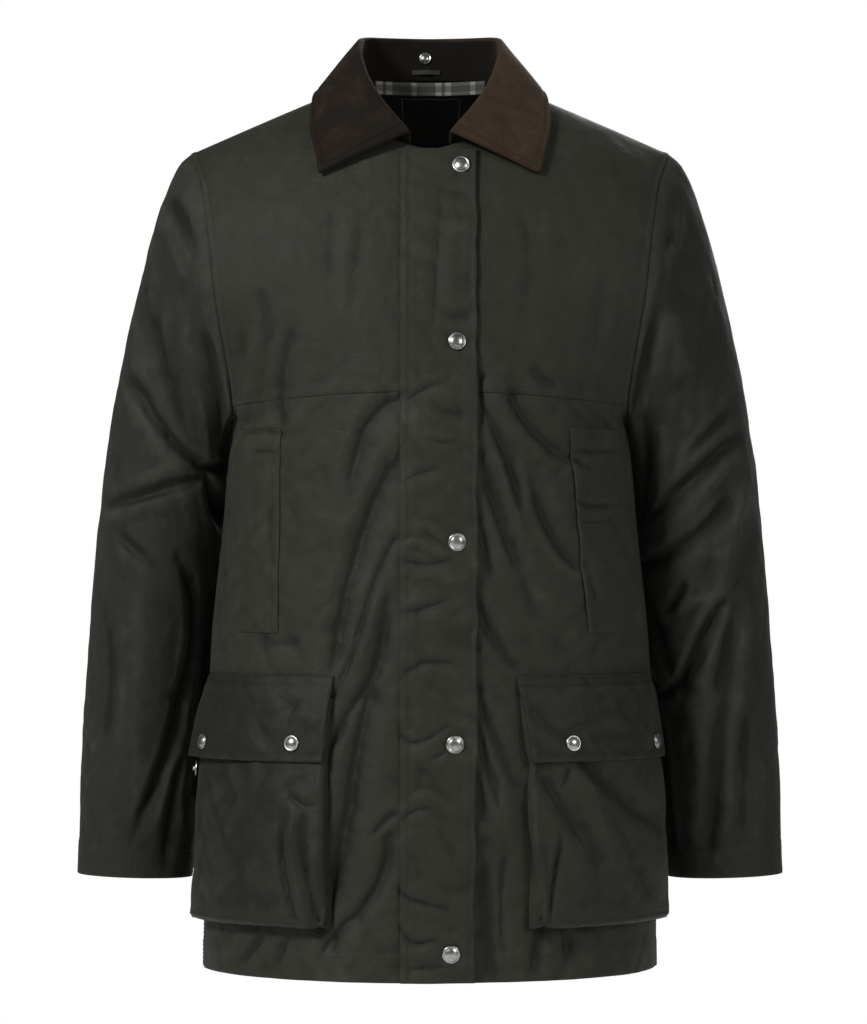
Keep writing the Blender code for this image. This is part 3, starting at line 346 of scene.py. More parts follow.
# ================================================================ the lie of the cloth
# Wax holds the cloth where it was bent: long troughs pulled from the storm flap to the pockets, short
# ones between the snaps, and a broad soft swell. A crease runs from, by and to places in the front view.
# deep is its depth (a ridge below 0), wide its half width, lean how much steeper its left side is, and
# start and end how much of the depth is left at its two ends.
Crease = namedtuple("Crease", "deep wide lean start end from_x from_z by_x by_z to_x to_z")
FRONT_CREASES = (
    # right front, from the storm flap down to the pocket: broad troughs, and a sharp line in most of them
    (5.2, 8.8, 0.35, 1, 0.3, -34, -274, -57, -303, -66, -352),
    (2.6, 3.3, 0, 0.8, 0.3, -37, -280, -53, -303, -60, -345),
    (6.4, 9.4, 0.35, 0.7, 0.6, -34, -330, -56, -380, -72, -440),
    (3, 3.5, 0, 0.6, 0.6, -31, -352, -50, -384, -66, -436),
    (5.2, 8.8, 0.3, 1, 0.2, -72, -440, -78, -470, -82, -505),
    (3.1, 3.7, 0, 0.6, 1, -29, -388, -44, -418, -60, -467),
    (3.1, 3.7, 0, 1, 0.5, -60, -467, -69, -491, -79, -516),
    (-2.6, 5, 0, 0.2, 0.2, -36, -425, -50, -462, -66, -520),
    (6.7, 7.2, 0.35, 0.3, 1, -37, -438, -44, -489, -63, -522),
    (4.9, 5.5, 0.3, 1, 0.3, -63, -522, -74, -541, -84, -562),
    (7.5, 8.8, 0.35, 0.3, 1, -43, -494, -57, -536, -68, -604),
    (7.5, 8.8, 0.35, 1, 0.5, -68, -604, -78, -655, -89, -703),
    (2.8, 3.3, 0, 0.3, 0.6, -40, -505, -54, -560, -62, -630),
    (3, 3.5, 0, 0.8, 0.2, -30, -612, -39, -620, -50, -632),
    (5.2, 5.5, 0.35, 0.5, 1, -35, -630, -41, -664, -62, -696),
    (5.2, 6.6, 0.35, 1, 0.4, -62, -696, -76, -708, -91, -732),
    (-2.6, 5.5, 0, 0.2, 0.6, -143, -207, -148, -237, -154, -276),
    (2.6, 5.5, 0, 0.2, 1, -112, -208, -120, -231, -125, -258),
    (2.6, 5, 0, 1, 0.3, -125, -258, -125, -275, -125, -294),
    (-2, 5, 0, 0.2, 0.2, -101, -275, -109, -287, -117, -298),
    (1.9, 3.3, 0, 0.6, 0.6, -155, -301, -140, -298, -124, -301),
    (2.6, 8.8, 0, 0.1, 0.1, -153, -449, -126, -474, -102, -462),
    (-2, 4.4, 0, 0.2, 0.4, -153, -716, -161, -724, -171, -737),
    (-2, 4.4, 0, 0.2, 0.4, -131, -718, -138, -728, -145, -742),
    (2.6, 3.7, 0, 0.6, 0.2, -141, -718, -149, -728, -157, -742),
    (2.3, 3.7, 0, 0.6, 0.2, -118, -716, -124, -728, -128, -742),
    # yokes, faint drags below the collar and beside the armholes
    (0.9, 5.5, 0, 0.2, 0.2, -76, -98, -82, -140, -80, -196),
    (0.8, 5.5, 0, 0.2, 0.2, -56, -108, -60, -150, -66, -212),
    (-0.7, 5.5, 0, 0.2, 0.2, -66, -104, -70, -146, -72, -200),
    (0.9, 5.5, 0, 0.2, 0.2, 76, -112, 80, -150, 76, -204),
    (-0.7, 5.5, 0, 0.2, 0.2, 92, -100, 98, -144, 94, -198),
    (1.1, 5.5, 0, 0.2, 0.4, -148, -150, -140, -188, -136, -236),
    (1.1, 5.5, 0, 0.2, 0.4, 150, -146, 142, -190, 138, -240),
    # left front, from the storm flap down to the pocket
    (5.1, 6, 0.3, 0.8, 0.2, 41, -273, 63, -320, 77, -372),
    (5.1, 6, 0.3, 0.6, 0.3, 41, -320, 58, -372, 77, -421),
    (1.8, 6.5, 0, 0.2, 0.2, 74, -412, 82, -440, 88, -460),
    (6.9, 7.2, 0.3, 0.8, 0.6, 68, -270, 88, -300, 115, -322),
    (2.4, 5.8, 0, 0.2, 0.6, 76, -244, 93, -255, 101, -266),
    (5.1, 6, 0.3, 0.3, 0.6, 80, -328, 98, -377, 121, -410),
    (5, 5.8, 0, 1, 0.2, 41, -255, 42, -275, 45, -299),
    (4.7, 5.5, 0, 0.6, 0.2, 40, -372, 47, -399, 50, -424),
    (5.1, 6, 0.2, 0.8, 0.7, 41, -445, 52, -467, 66, -490),
    (5, 5.8, 0.2, 0.7, 0.3, 40, -511, 49, -541, 68, -588),
    (5, 5.8, 0.2, 0.7, 0.2, 39, -538, 47, -571, 58, -610),
    (1.6, 4, 0, 0.4, 0.3, 47, -503, 53, -514, 61, -526),
    (5, 5.8, 0, 0.6, 0.2, 40, -578, 43, -600, 47, -622),
    (7, 12, 0, 0.2, 0.8, 44, -636, 47, -690, 50, -738),
    (4.2, 4.9, 0, 0.2, 0.6, 60, -640, 58, -690, 62, -740),
    (-3.6, 7.2, 0, 0.2, 0.2, 50, -300, 66, -345, 80, -392),
    (-3.6, 7.2, 0, 0.2, 0.2, 50, -560, 60, -596, 68, -640),
    (5, 5.8, 0, 0.8, 0.5, 90, -705, 89, -722, 86, -739),
    (-3.2, 7.2, 0, 0.2, 0.5, 123, -708, 128, -724, 130, -739),
    (3.6, 4.9, 0, 0.6, 0.3, 110, -708, 114, -724, 112, -740),
    # storm flap, across it at and between the snaps
    (1.8, 6.5, 0, 0.3, 0.2, 9, -101, 6, -158, 3, -228),
    (2.4, 3.7, 0, 0.8, 0.2, -21, -276, -8, -266, 15, -257),
    (1.6, 2.8, 0, 0.3, 0.3, 0, -305, 12, -308, 25, -305),
    (2.2, 4.7, 0, 0.8, 0.2, -22, -341, -8, -333, 10, -331),
    (2.6, 2.8, 0, 0.3, 1, -8, -378, 3, -385, 14, -393),
    (-2.2, 2.8, 0, 0.6, 0.3, -20, -395, -10, -390, 3, -398),
    (2.2, 3.7, 0, 0.5, 0.6, -19, -404, -3, -408, 17, -404),
    (2.4, 4.7, 0, 0.7, 0.3, -22, -448, -3, -443, 18, -436),
    (2.2, 3.7, 0, 0.5, 0.4, -19, -495, 0, -488, 22, -489),
    (2.8, 3.2, 0, 0.8, 0.5, -22, -549, -7, -553, 14, -540),
    (2.4, 2.8, 0, 0.3, 1, 0, -566, 10, -563, 17, -558),
    (2.4, 3.7, 0, 0.7, 0.3, -20, -616, -11, -609, 6, -605),
    (3.2, 3.7, 0, 1, 0.4, -23, -675, -11, -683, 14, -689),
    (2.8, 3.2, 0, 1, 0.4, -23, -705, -12, -717, 3, -714),
    (1.8, 2.8, 0, 0.4, 0.4, -16, -739, 0, -737, 17, -736),
)


def press(creases, x, z):
    """How deep creases press the cloth in, at arrays of front-view places x and z. Where several meet the
    deepest counts, so that one may carry on from another."""
    troughs, ridges = np.zeros_like(x), np.zeros_like(x)
    for crease in map(Crease._make, creases):
        t = np.linspace(0, 1, 15)[:, None]
        ends = np.array([crease[5:7], crease[7:9], crease[9:11]], float)
        path = ends[0] * (1 - t) * (1 - 2 * t) + ends[1] * 4 * t * (1 - t) + ends[2] * t * (2 * t - 1)
        reach = 3.4 * crease.wide
        low, high = path.min(0) - reach, path.max(0) + reach
        near = np.nonzero((x > low[0]) & (x < high[0]) & (z > low[1]) & (z < high[1]))[0]
        px, pz = x[near], z[near]
        best, side, along = (np.full(px.shape, v) for v in (1e9, 1.0, 0.0))
        for i, (a, b) in enumerate(zip(path, path[1:])):
            run = b - a
            share = np.clip(((px - a[0]) * run[0] + (pz - a[1]) * run[1]) / (run @ run), 0, 1)
            off_x, off_z = px - a[0] - run[0] * share, pz - a[1] - run[1] * share
            off = np.hypot(off_x, off_z)
            closer = off < best
            best[closer], along[closer] = off[closer], (i + share[closer]) / (len(path) - 1)
            side[closer] = np.sign(run[0] * off_z - run[1] * off_x)[closer]
        s = best / (crease.wide * (1 + side * crease.lean))
        left = crease.start + (1 - crease.start) * smooth(along * 3)
        left *= crease.end + (1 - crease.end) * smooth((1 - along) * 3)
        rim = 0.13 * smooth(along * 8) * smooth((1 - along) * 8)
        shape = np.exp(-(s**1.35)) - rim * np.exp(-(((s - 1.9) / 0.7) ** 2))
        depth = crease.deep * left * shape
        troughs[near], ridges[near] = np.maximum(troughs[near], depth), np.minimum(ridges[near], depth)
    return troughs + ridges * (1 - 0.8 * smooth(troughs / 2.5))


def waver(along, pitch, seed):
    """An uneven wave between -1 and 1, with a bend about every pitch."""
    heights = np.random.default_rng(seed).uniform(-1, 1, 997)
    cell = np.floor(along / pitch)
    t = smooth(along / pitch - cell)
    i = cell.astype(int)
    return heights[i % 997] * (1 - t) + heights[(i + 1) % 997] * t


def swell(x, z, size, seed):
    """An uneven surface between about -1 and 1, with lumps of this size."""
    heights = np.random.default_rng(seed).uniform(-1, 1, (61, 61))
    heights[-1], heights[:, -1] = heights[0], heights[:, 0]
    i, j = np.floor(x / size), np.floor(z / size)
    s, t = smooth(x / size - i), smooth(z / size - j)
    i, j = i.astype(int) % 60, j.astype(int) % 60
    low = heights[i, j] * (1 - s) + heights[i + 1, j] * s
    high = heights[i, j + 1] * (1 - s) + heights[i + 1, j + 1] * s
    return low * (1 - t) + high * t


def crumple(x, z, seed):
    """The fine unevenness of waxed cloth: broad lumps, and small ones with soft edges between them."""
    turned_x, turned_z = 0.8 * x + 0.6 * z, 0.8 * z - 0.6 * x
    return (
        0.9 * swell(x, 0.6 * z, 62, seed)
        + 1.2 * (0.5 - np.abs(swell(turned_x, 0.5 * turned_z, 30, seed + 1)))
        + 0.85 * (0.5 - np.abs(swell(turned_z, 0.6 * turned_x, 17, seed + 2)))
        + 0.28 * swell(turned_x + 0.4 * z, turned_z, 9.5, seed + 3)
    )


def pucker(off, along, seed, reach=11.0, pitch=9.0):
    """How a row of stitches draws the cloth up, at a distance off from it."""
    pull = 0.16 + 0.42 * waver(along, pitch, seed) + 0.2 * waver(along, 3.1 * pitch, seed + 50)
    return np.exp(-((off / reach) ** 2)) * pull


STORM_RIGHT, STORM_LEFT = -24.4, 38.5  # the storm flap's two edges
SNAP_PULLS = ((26, -76), (22.3, -224.5), (22.2, -389.5), (20.5, -555), (17.3, -726))


def front_cloth(u, girth):
    """(points, directions it faces) of the creased front, at arrays of u and girth of one shape."""
    shape = np.shape(u)
    u, girth = np.ravel(u).astype(float), np.ravel(girth).astype(float)
    plain, normals = plain_body(u, girth), body_normals(u, girth)
    x, y, z = plain.T
    calm = 1 - 0.6 * smooth((girth - YOKE_SEAM) / 60)
    pressed = press(FRONT_CREASES, x, z) + calm * crumple(u * HALF_ROUND, girth, 11)
    pressed += pucker(np.abs(x - STORM_RIGHT), z, 21) + pucker(np.abs(x - STORM_LEFT), z, 22, reach=7)
    pressed += pucker(np.abs(girth - YOKE_SEAM), x, 23)
    pressed += pucker(girth, x, 24, reach=26)
    for snap_x, snap_z in SNAP_PULLS:
        r = np.hypot(x - snap_x, z - snap_z)
        pressed *= 1 - 0.9 * np.exp(-((r / 11) ** 4))
        round_snap = 5 * np.arctan2(z - snap_z, x - snap_x) + snap_z
        pressed += np.exp(-((r / 13) ** 2)) * (0.9 + 0.35 * np.sin(round_snap))
    to_side = (1 - np.abs(u)) * HALF_ROUND
    from_neck = (np.hypot(x / NECK_HALF_WIDTH, y / NECK_FRONT_REACH) - 1) * NECK_HALF_WIDTH
    armhole = smooth((girth - ARMPIT) / 20)
    pressed += armhole * pucker(to_side, girth, 25, reach=14)
    pressed *= smooth(to_side / 22) * smooth((SHOULDER - girth) / 20)
    pressed *= np.where(girth > LEVELS[-4].girth - 60, smooth(from_neck / 14), 1)
    return (plain - normals * pressed[:, None]).reshape(*shape, 3), normals.reshape(*shape, 3)


# ================================================================ fronts and yokes
# Two lower fronts run from the hem to a straight seam across the chest, where the yokes lap over them.
# Each is one wall of waxed cotton and lining; the hem is turned up and stitched.
def edge_steps(length, spacing, rim=(0, 0.15, 0.5, 1.2)):
    """Distances across a piece of cloth, close together at its two folded edges."""
    middle = np.linspace(rim[-1], length - rim[-1], max(2, round((length - 2 * rim[-1]) / spacing) + 1))
    return np.concatenate([rim[:-1], middle, length - np.array(rim[-2::-1])])


def shares_past_neck(cut, spacing):
    """Shares of the way from the middle to the side, with one at the neck point of the shoulder."""
    to_neck = edge_steps(cut * NECK_U, spacing, rim=(0,)) / cut
    return np.concatenate([to_neck, NECK_U + (edge_steps(cut * (1 - NECK_U), spacing) / cut)[4:]])


def rolled(distance, radius=1.2):
    """How full cloth stands at a distance from its folded edge, from 0 at the edge to 1."""
    return np.sqrt(1 - (1 - np.clip(distance / radius, 0, 1)) ** 2)


def ironed(grid, reach):
    """A grid of points smoothed over this many of them each way, as if the cloth were ironed."""
    soft, span = np.asarray(grid, float), 2 * reach + 1
    for axis in (0, 1):
        pad = [(reach, reach) if a == axis else (0, 0) for a in range(soft.ndim)]
        run = np.cumsum(np.pad(soft, pad, mode="edge"), axis=axis)
        run = np.concatenate([np.zeros_like(np.take(run, [0], axis)), run], axis=axis)
        ahead, behind = range(span, run.shape[axis]), range(run.shape[axis] - span)
        soft = (np.take(run, ahead, axis) - np.take(run, behind, axis)) / span
    return soft


def carry(mesh, name, values):
    """Puts a value, or a direction, on each point of a mesh."""
    values = np.asarray(values)
    kind, field = ("FLOAT", "value") if values.ndim == 1 else ("FLOAT_VECTOR", "vector")
    mesh.attributes.new(name, kind, "POINT").data.foreach_set(field, values.ravel())


def wall(name, outer, inner, uv, finish, proud=None):
    """A closed wall between two skins, grids of points whose columns run to the right and whose rows run
    up, seen from outside. uv has one column more than the skins where each row is a closed loop."""
    rows, columns = outer.shape[:2]
    count = rows * columns
    spots = np.arange(rows)[:, None] * columns + np.arange(uv.shape[1]) % columns
    marks = np.arange(rows * uv.shape[1]).reshape(rows, -1)

    def skin(grid):
        return np.stack([grid[:-1, :-1], grid[:-1, 1:], grid[1:, 1:], grid[1:, :-1]], -1).reshape(-1, 4)

    def rim(edge, far):
        return np.stack([edge[:-1], edge[1:], edge[1:] + far, edge[:-1] + far], -1)

    faces, loops = [skin(spots), skin(spots)[:, ::-1] + count], [skin(marks), skin(marks)[:, ::-1]]
    borders = [(spots[0, ::-1], marks[0, ::-1]), (spots[-1], marks[-1])]
    if uv.shape[1] == columns:
        borders += [(spots[:, 0], marks[:, 0]), (spots[::-1, -1], marks[::-1, -1])]
    for spot, mark in borders:
        faces.append(rim(spot, count))
        loops.append(rim(mark, 0))
    faces, loops = np.concatenate(faces), np.concatenate(loops).ravel()
    mesh = bpy.data.meshes.new(name)
    places = np.concatenate([outer.reshape(-1, 3), inner.reshape(-1, 3)]) * MM
    mesh.from_pydata(places.tolist(), [], faces.tolist())
    mesh.uv_layers.new(name="cut").data.foreach_set("uv", (uv.reshape(-1, 2) * MM)[loops].ravel())
    # Worn ridges and painted shade in the hollows, on the outer skin only.
    if proud is not None:
        carry(mesh, "wear_and_shade", np.concatenate([proud.ravel(), 0 * proud.ravel()]))
    mesh.shade_smooth()
    mesh.set_sharp_from_angle(angle=math.radians(62))
    mesh.materials.append(finish)
    return placed(name, mesh)


def proudness(points, plain_normals, most=0.5):
    """Wear and painted shade on a skin: how far it stands out past its ironed self, over a narrow and a broad
    reach. Hollows come out as painted shade; ridges as worn wax, partly painted highlight.
    """
    near, far = (((points - ironed(points, reach)) * plain_normals).sum(-1) for reach in (3, 8))
    return np.clip(near / 0.8 + (far - np.median(far)) / 3.2, -1.7, most)


def dressed(piece, nodes):
    """Puts a finished piece on the body in place of its solids."""
    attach(piece, "root")
    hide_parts(*nodes)
    return piece


stitch_runs = {"front": [], "back": [], "sleeve": [], "pocket": [], "storm_flap": [], "collar": []}


def walked(line):
    """How far along a line each of its points lies."""
    return np.concatenate([[0], np.cumsum(np.linalg.norm(np.diff(line, axis=0), axis=1))])


def inset_line(skin, edge, inset, trim=0.0):
    """A line on a skin beside one of its edges: low, top, first or last."""
    grid = skin if edge in ("first", "last") else skin.transpose(1, 0, 2)
    grid = grid[:, ::-1] if edge in ("last", "top") else grid
    line = []
    for row in grid:
        run = walked(row)
        line.append([np.interp(inset, run, row[:, k]) for k in range(3)])
    line = np.array(line)
    run = walked(line)
    return line[(run >= trim) & (run <= run[-1] - trim)]


def with_mitre(points, normals, climbs, off, side, back):
    """Turns the wall's direction to the armhole's shared mitre, over the last of the cloth."""
    for i in np.nonzero(climbs > ARMPIT - 14)[0]:
        turn = np.interp(max(climbs[i], ARMPIT), ARMHOLE_GIRTHS, ARMHOLE_TURNS)
        through, across = armhole_mitre(side, np.array([2 * math.pi - turn if back else turn]))
        onset = smooth((climbs[i] - ARMPIT + 14) / 14)
        share = (smooth(1 - off[i] / 16) * onset)[:, None]
        normals[i] = unit(normals[i] * (1 - share) + through[0] * share)
        points[i] -= across[0] * (SEAM_GAP / 2) * smooth(1 - off[i] / 2)[:, None] * onset


FRONT_WEAVE, YOKE_WEAVE = 2.4, 3.1  # between the mesh's lines
for side, word in ((-1, "right"), (1, "left")):
    across = edge_steps(FRONT_CUT, FRONT_WEAVE) / FRONT_CUT
    for part, shares in (("front", across), ("front_yoke", shares_past_neck(FRONT_CUT, YOKE_WEAVE))):
        lower = part == "front"
        steps = edge_steps(YOKE_SEAM, FRONT_WEAVE) if lower else edge_steps(SHOULDER - YOKE_SEAM, YOKE_WEAVE)
        u = side * (shares if side > 0 else shares[::-1])
        girth = np.repeat(steps[:, None], len(u), axis=1)
        if not lower:
            girth = YOKE_SEAM + (neckline(u, False) - YOKE_SEAM) * (steps / steps[-1])[:, None]
        columns = np.repeat(u[None], len(steps), axis=0)
        points, normals = front_cloth(columns, girth)
        to_side = (1 - np.abs(columns)) * HALF_ROUND
        edge = 0 if side < 0 else -1
        with_mitre(points, normals, girth[:, edge], to_side, side, back=False)
        points[:, -1 if side < 0 else 0, 0] += side * SEAM_GAP / 2
        points[..., 1] -= SEAM_GAP / 2 * smooth(1 - to_side / 2) * (girth < ARMPIT)
        from_low, from_top = girth - girth[0], girth[-1] - girth
        if lower:
            points[..., 2] -= SEAM_GAP / 2 * smooth(1 - from_top / 2)
            full = rolled(from_low) * (0.5 + 0.5 * rolled(from_top)) * (0.5 + 0.5 * rolled(to_side))
            layers = 0.45 * (1 - smooth((from_low - 22) / 2.2)) + 0.5 * (1 - smooth((to_side - 9) / 2))
        else:
            points[..., 2] += SEAM_GAP / 2 * smooth(1 - from_low / 2)
            points[..., 1] -= SEAM_GAP / 2 * smooth(1 - from_top / 2)
            full = (0.4 + 0.6 * rolled(from_low)) * rolled(from_top) * (0.5 + 0.5 * rolled(to_side))
            layers = 0.6 * (1 - smooth((from_low - 9) / 2)) + 0.6 * (1 - smooth((to_side - 9) / 2))
        outer = points + normals * (layers - 1.1 * (1 - full))[..., None]
        uv = np.stack([columns * FRONT_CUT, girth], axis=-1)
        piece = wall(f"{word}_{part}_cloth", outer, points - normals * SHELL, uv, body_wax,
                     proudness(outer, normals))
        dressed(piece, [f"{word}_{part}"])
        if lower:
            stitch_runs["front"].append(inset_line(outer, "low", 21, 2))
        else:
            stitch_runs["front"] += [inset_line(outer, "low", inset, 3) for inset in (2.4, 7.6)]
        stitch_runs["front"].append(inset_line(outer, "first" if side < 0 else "last", 7.2, 3))

# ================================================================ back
# One piece from side seam to side seam, with no seam down its middle. Its upper edge carries the rest
# of the neck seam and both shoulder seams.
BACK_CREASES = (
    (5, 13.6, 0, 0.2, 0.5, -40, -150, -66, -232, -110, -320),
    (5, 13.6, 0, 0.2, 0.5, 46, -165, 68, -244, 104, -340),
    (6.2, 13.6, 0, 0.2, 0.6, -60, -450, -72, -560, -96, -680),
    (4.4, 11.9, 0, 0.2, 0.2, 8, -410, 20, -520, 22, -640),
    (6.2, 13.6, 0, 0.3, 0.5, 78, -430, 92, -545, 118, -670),
    (4.2, 6.8, 0, 0.2, 1.0, -96, -236, -126, -268, -156, -292),
    (3.5, 6, 0, 0.2, 0.8, -84, -288, -116, -302, -152, -306),
    (4.2, 6.8, 0, 0.2, 1.0, 92, -228, 122, -264, 154, -290),
    (3.2, 6, 0, 0.2, 0.8, 80, -300, 112, -312, 150, -312),
    (-3, 7.6, 0, 0.2, 0.3, -30, -330, -44, -410, -52, -500),
    (-2.8, 8.5, 0, 0.2, 0.3, 44, -360, 60, -452, 66, -560),
    (3, 6.8, 0, 0.3, 0.2, -118, -372, -108, -440, -120, -520),
    (3.2, 7.6, 0, 0.2, 0.6, 128, -380, 120, -450, 134, -540),
    (2.8, 6, 0, 0.2, 0.7, -20, -560, -30, -640, -34, -736),
    (3, 6.8, 0, 0.2, 0.7, 52, -590, 60, -660, 58, -738),
    (-2.5, 7.6, 0, 0.2, 0.4, -132, -600, -138, -670, -146, -734),
    (2.5, 8.5, 0, 0.2, 0.2, -60, -118, -20, -138, 30, -126),
)


def back_cloth(u, girth):
    """(points, directions it faces) of the creased back."""
    shape = np.shape(u)
    u, girth = np.ravel(u).astype(float), np.ravel(girth).astype(float)
    plain, normals = plain_body(u, girth), body_normals(u, girth)
    x, y, z = plain.T
    low = BACK_HEM - girth
    calm = 1 - 0.5 * smooth((low - YOKE_SEAM) / 80)
    pressed = press(BACK_CREASES, x, z) + calm * crumple(u * HALF_ROUND, low, 31)
    pressed += pucker(low, x, 33, reach=26)
    to_side = (1 - np.abs(u)) * HALF_ROUND
    pressed += smooth((low - ARMPIT) / 20) * pucker(to_side, low, 35, reach=14)
    pressed *= smooth(to_side / 22) * smooth((girth - SHOULDER) / 20)
    from_neck = (np.hypot(x / NECK_HALF_WIDTH, y / NECK_BACK_REACH) - 1) * NECK_BACK_REACH
    pressed *= np.where(low > LEVELS[-4].girth, smooth(from_neck / 14), 1)
    return (plain - normals * pressed[:, None]).reshape(*shape, 3), normals.reshape(*shape, 3)


BACK_WEAVE = 3.8
half = shares_past_neck(HALF_ROUND, BACK_WEAVE)
half[-1] = 1
u = np.concatenate([-half[:0:-1], half])
climb = edge_steps(SHOULDER, BACK_WEAVE)
share = np.maximum(0, climb - ARMPIT) / (SHOULDER - ARMPIT)
low = BACK_HEM - np.minimum(climb, ARMPIT)
girth = low[:, None] + (neckline(u, True)[None] - low[:, None]) * share[:, None]
columns = np.repeat(u[None], len(climb), axis=0)
points, normals = back_cloth(columns, girth)
to_side = (1 - np.abs(columns)) * HALF_ROUND
for side, part in ((-1, slice(None, len(half))), (1, slice(len(half) - 1, None))):
    with_mitre(points[:, part], normals[:, part], climb, to_side[:, part], side, back=True)
points[..., 1] += SEAM_GAP / 2 * smooth(1 - to_side / 2) * (climb[:, None] < ARMPIT)
points[..., 1] += SEAM_GAP / 2 * smooth(1 - (SHOULDER - climb[:, None]) / 2)
full = rolled(climb)[:, None] * rolled(SHOULDER - climb)[:, None] * (0.5 + 0.5 * rolled(to_side))
layers = 0.45 * (1 - smooth((climb - 22) / 2.2))[:, None] + 0.5 * (1 - smooth((to_side - 9) / 2))
back_outer = points + normals * (layers - 1.1 * (1 - full))[..., None]
back_inner = points - normals * SHELL
uv = np.stack([columns * HALF_ROUND, climb[:, None] + 0 * columns], axis=-1)
back = wall("back_cloth", back_outer[:, ::-1], back_inner[:, ::-1], uv[:, ::-1], body_wax,
            proudness(back_outer, normals)[:, ::-1])
dressed(back, ["back"])
stitch_runs["back"].append(inset_line(back_outer, "low", 21, 2))
stitch_runs["back"] += [inset_line(back_outer, edge, 7.2, 3) for edge in ("first", "last")]

# ================================================================ sleeves
# Each is a tube, wide at the armhole and narrow at the wrist, set in with a single row of stitches. Its
# cloth is painted darker than the body's, as painted shade; it breaks into hard creases at the elbow and
# pulls towards the armpit.
Ring = namedtuple("Ring", "along outer_x outer_z inner_x inner_z middle_y depth")
RINGS = (
    Ring(0, 203, -63, 168, -296, 0, 74),
    Ring(9, 212, -70.5, 169, -300, 1, 74),
    Ring(20, 220, -83, 170, -306, 5, 73),
    Ring(37, 229.5, -106, 170.5, -315, 11, 71),
    Ring(63, 240.5, -141, 171, -329, 19, 69),
    Ring(97, 252.5, -186, 172.3, -350, 27, 67),
    Ring(137, 264.5, -238, 174.5, -378, 33, 65),
    Ring(184, 275.5, -299, 176.8, -412, 37, 62),
    Ring(236, 283.5, -362, 180.5, -452, 38, 59),
    Ring(295, 290, -433, 184.5, -498, 38, 56),
    Ring(360, 295.5, -510, 189, -551, 37, 52),
    Ring(431, 299.5, -590, 196, -612, 35, 48),
    Ring(506, 302, -674, 204, -677, 32, 43),
)
SLEEVE_LENGTH, SLEEVE_RADIUS = 506.0, 80.0
ARMHOLE_FADE = 90.0
SLEEVE_CREASES = {
    -1: (
        (4.9, 10.5, 0.3, 0.5, 0.6, -242, -178, -224, -246, -198, -316),
        (7.4, 6.8, 0.3, 0.1, 1, -256, -238, -234, -287, -196, -325),
        (8.1, 5.8, 0, 1, 1, -196, -325, -184, -330, -168, -324),
        (6.8, 5.5, 0.2, 0.3, 0.8, -268, -359, -238, -350, -192, -337),
        (-3.5, 6.3, 0, 0.2, 0.4, -271, -366, -245, -357, -207, -351),
        (2.7, 6.3, 0, 0.3, 0.3, -262, -382, -252, -395, -237, -407),
        (-2.4, 5.2, 0, 0.3, 0.3, -264, -394, -251, -406, -236, -417),
        (8.1, 7.6, 0.3, 0.3, 1, -212, -406, -198, -455, -211, -524),
        (7.4, 6.8, 0.3, 1, 0.2, -211, -524, -226, -578, -252, -638),
        (6.8, 13.7, 0, 0.4, 0.6, -188, -400, -187, -490, -199, -604),
        (-5.4, 18.9, 0, 0.3, 0.3, -243, -412, -246, -500, -252, -600),
        (5.4, 6.1, 0, 0.2, 0.6, -206, -566, -215, -602, -225, -664),
        (3.5, 5.2, 0, 0.2, 0.6, -223, -96, -208, -116, -194, -148),
        (-2.2, 5.2, 0, 0.2, 0.3, -230, -106, -217, -132, -206, -164),
        (5.9, 9.5, 0, 0.2, 1, -192, -200, -182, -250, -171, -318),
        (8.1, 5.2, 0, 0.8, 0.3, -187, -336, -181, -356, -176, -378),
        (3.2, 8.4, 0, 0.2, 0.2, -277, -439, -273, -507, -279, -574),
    ),
    1: (
        (4.3, 7.4, 0, 0.6, 0.5, 208, -80, 197, -110, 187, -178),
        (-2.4, 5.2, 0, 0.3, 0.3, 214, -104, 208, -130, 201, -155),
        (2.7, 4.2, 0, 0.8, 0.2, 189, -150, 198, -140, 209, -126),
        (6.8, 6.3, 0, 0.5, 0.6, 187, -194, 179, -235, 168, -276),
        (-3.8, 14.7, 0, 0.2, 0.2, 196, -186, 206, -225, 206, -262),
        (6.8, 8.4, 0, 0.6, 0.4, 180, -288, 180, -330, 177, -385),
        (4.3, 5.2, 0, 0.2, 0.2, 256, -278, 238, -297, 219, -319),
        (6.8, 6.9, 0.2, 0.2, 0.5, 266, -296, 234, -324, 178, -376),
        (-4.1, 5.8, 0, 0.2, 0.4, 257, -312, 233, -345, 196, -392),
        (6.2, 6.9, 0.2, 0.2, 0.6, 251, -346, 231, -380, 179, -411),
        (-6.8, 9.5, 0, 0.2, 0.8, 269, -325, 256, -381, 245, -437),
        (-6.2, 11.6, 0, 0.8, 0.3, 243, -437, 234, -510, 224, -626),
        (8.5, 6.5, 0.35, 0.3, 1, 244, -443, 228, -475, 210, -508),
        (6.8, 6.5, 0, 1, 0.6, 210, -508, 199, -519, 188, -522),
        (-3.2, 4.7, 0, 0.3, 0.6, 203, -451, 224, -441, 243, -437),
        (4.1, 4.5, 0, 0.6, 0.2, 203, -447, 211, -434, 216, -422),
        (5.4, 6.1, 0, 0.3, 0.6, 183, -434, 196, -475, 203, -506),
        (8.1, 12.6, 0, 0.5, 0.8, 192, -514, 197, -590, 206, -664),
        (4.1, 7.4, 0, 0.3, 0.3, 257, -446, 251, -490, 247, -526),
        (4.1, 7.4, 0, 0.4, 0.5, 247, -530, 242, -600, 237, -664),
        (-4.1, 8.4, 0, 0.3, 0.3, 272, -448, 262, -520, 252, -612),
        (3.2, 9.5, 0, 0.1, 0.3, 268, -524, 268, -590, 262, -653),
    ),
}


def ring_points(side, turn, ring):
    """Points on an oval ring of the sleeve, from the six values that Ring gives after along."""
    outer_x, outer_z, inner_x, inner_z, middle_y, depth = ring
    lean = -np.cos(turn)
    x = (outer_x + inner_x) / 2 + lean * (outer_x - inner_x) / 2
    z = (outer_z + inner_z) / 2 + lean * (outer_z - inner_z) / 2
    return np.stack([side * x, middle_y - np.sin(turn) * depth, z], axis=-1)


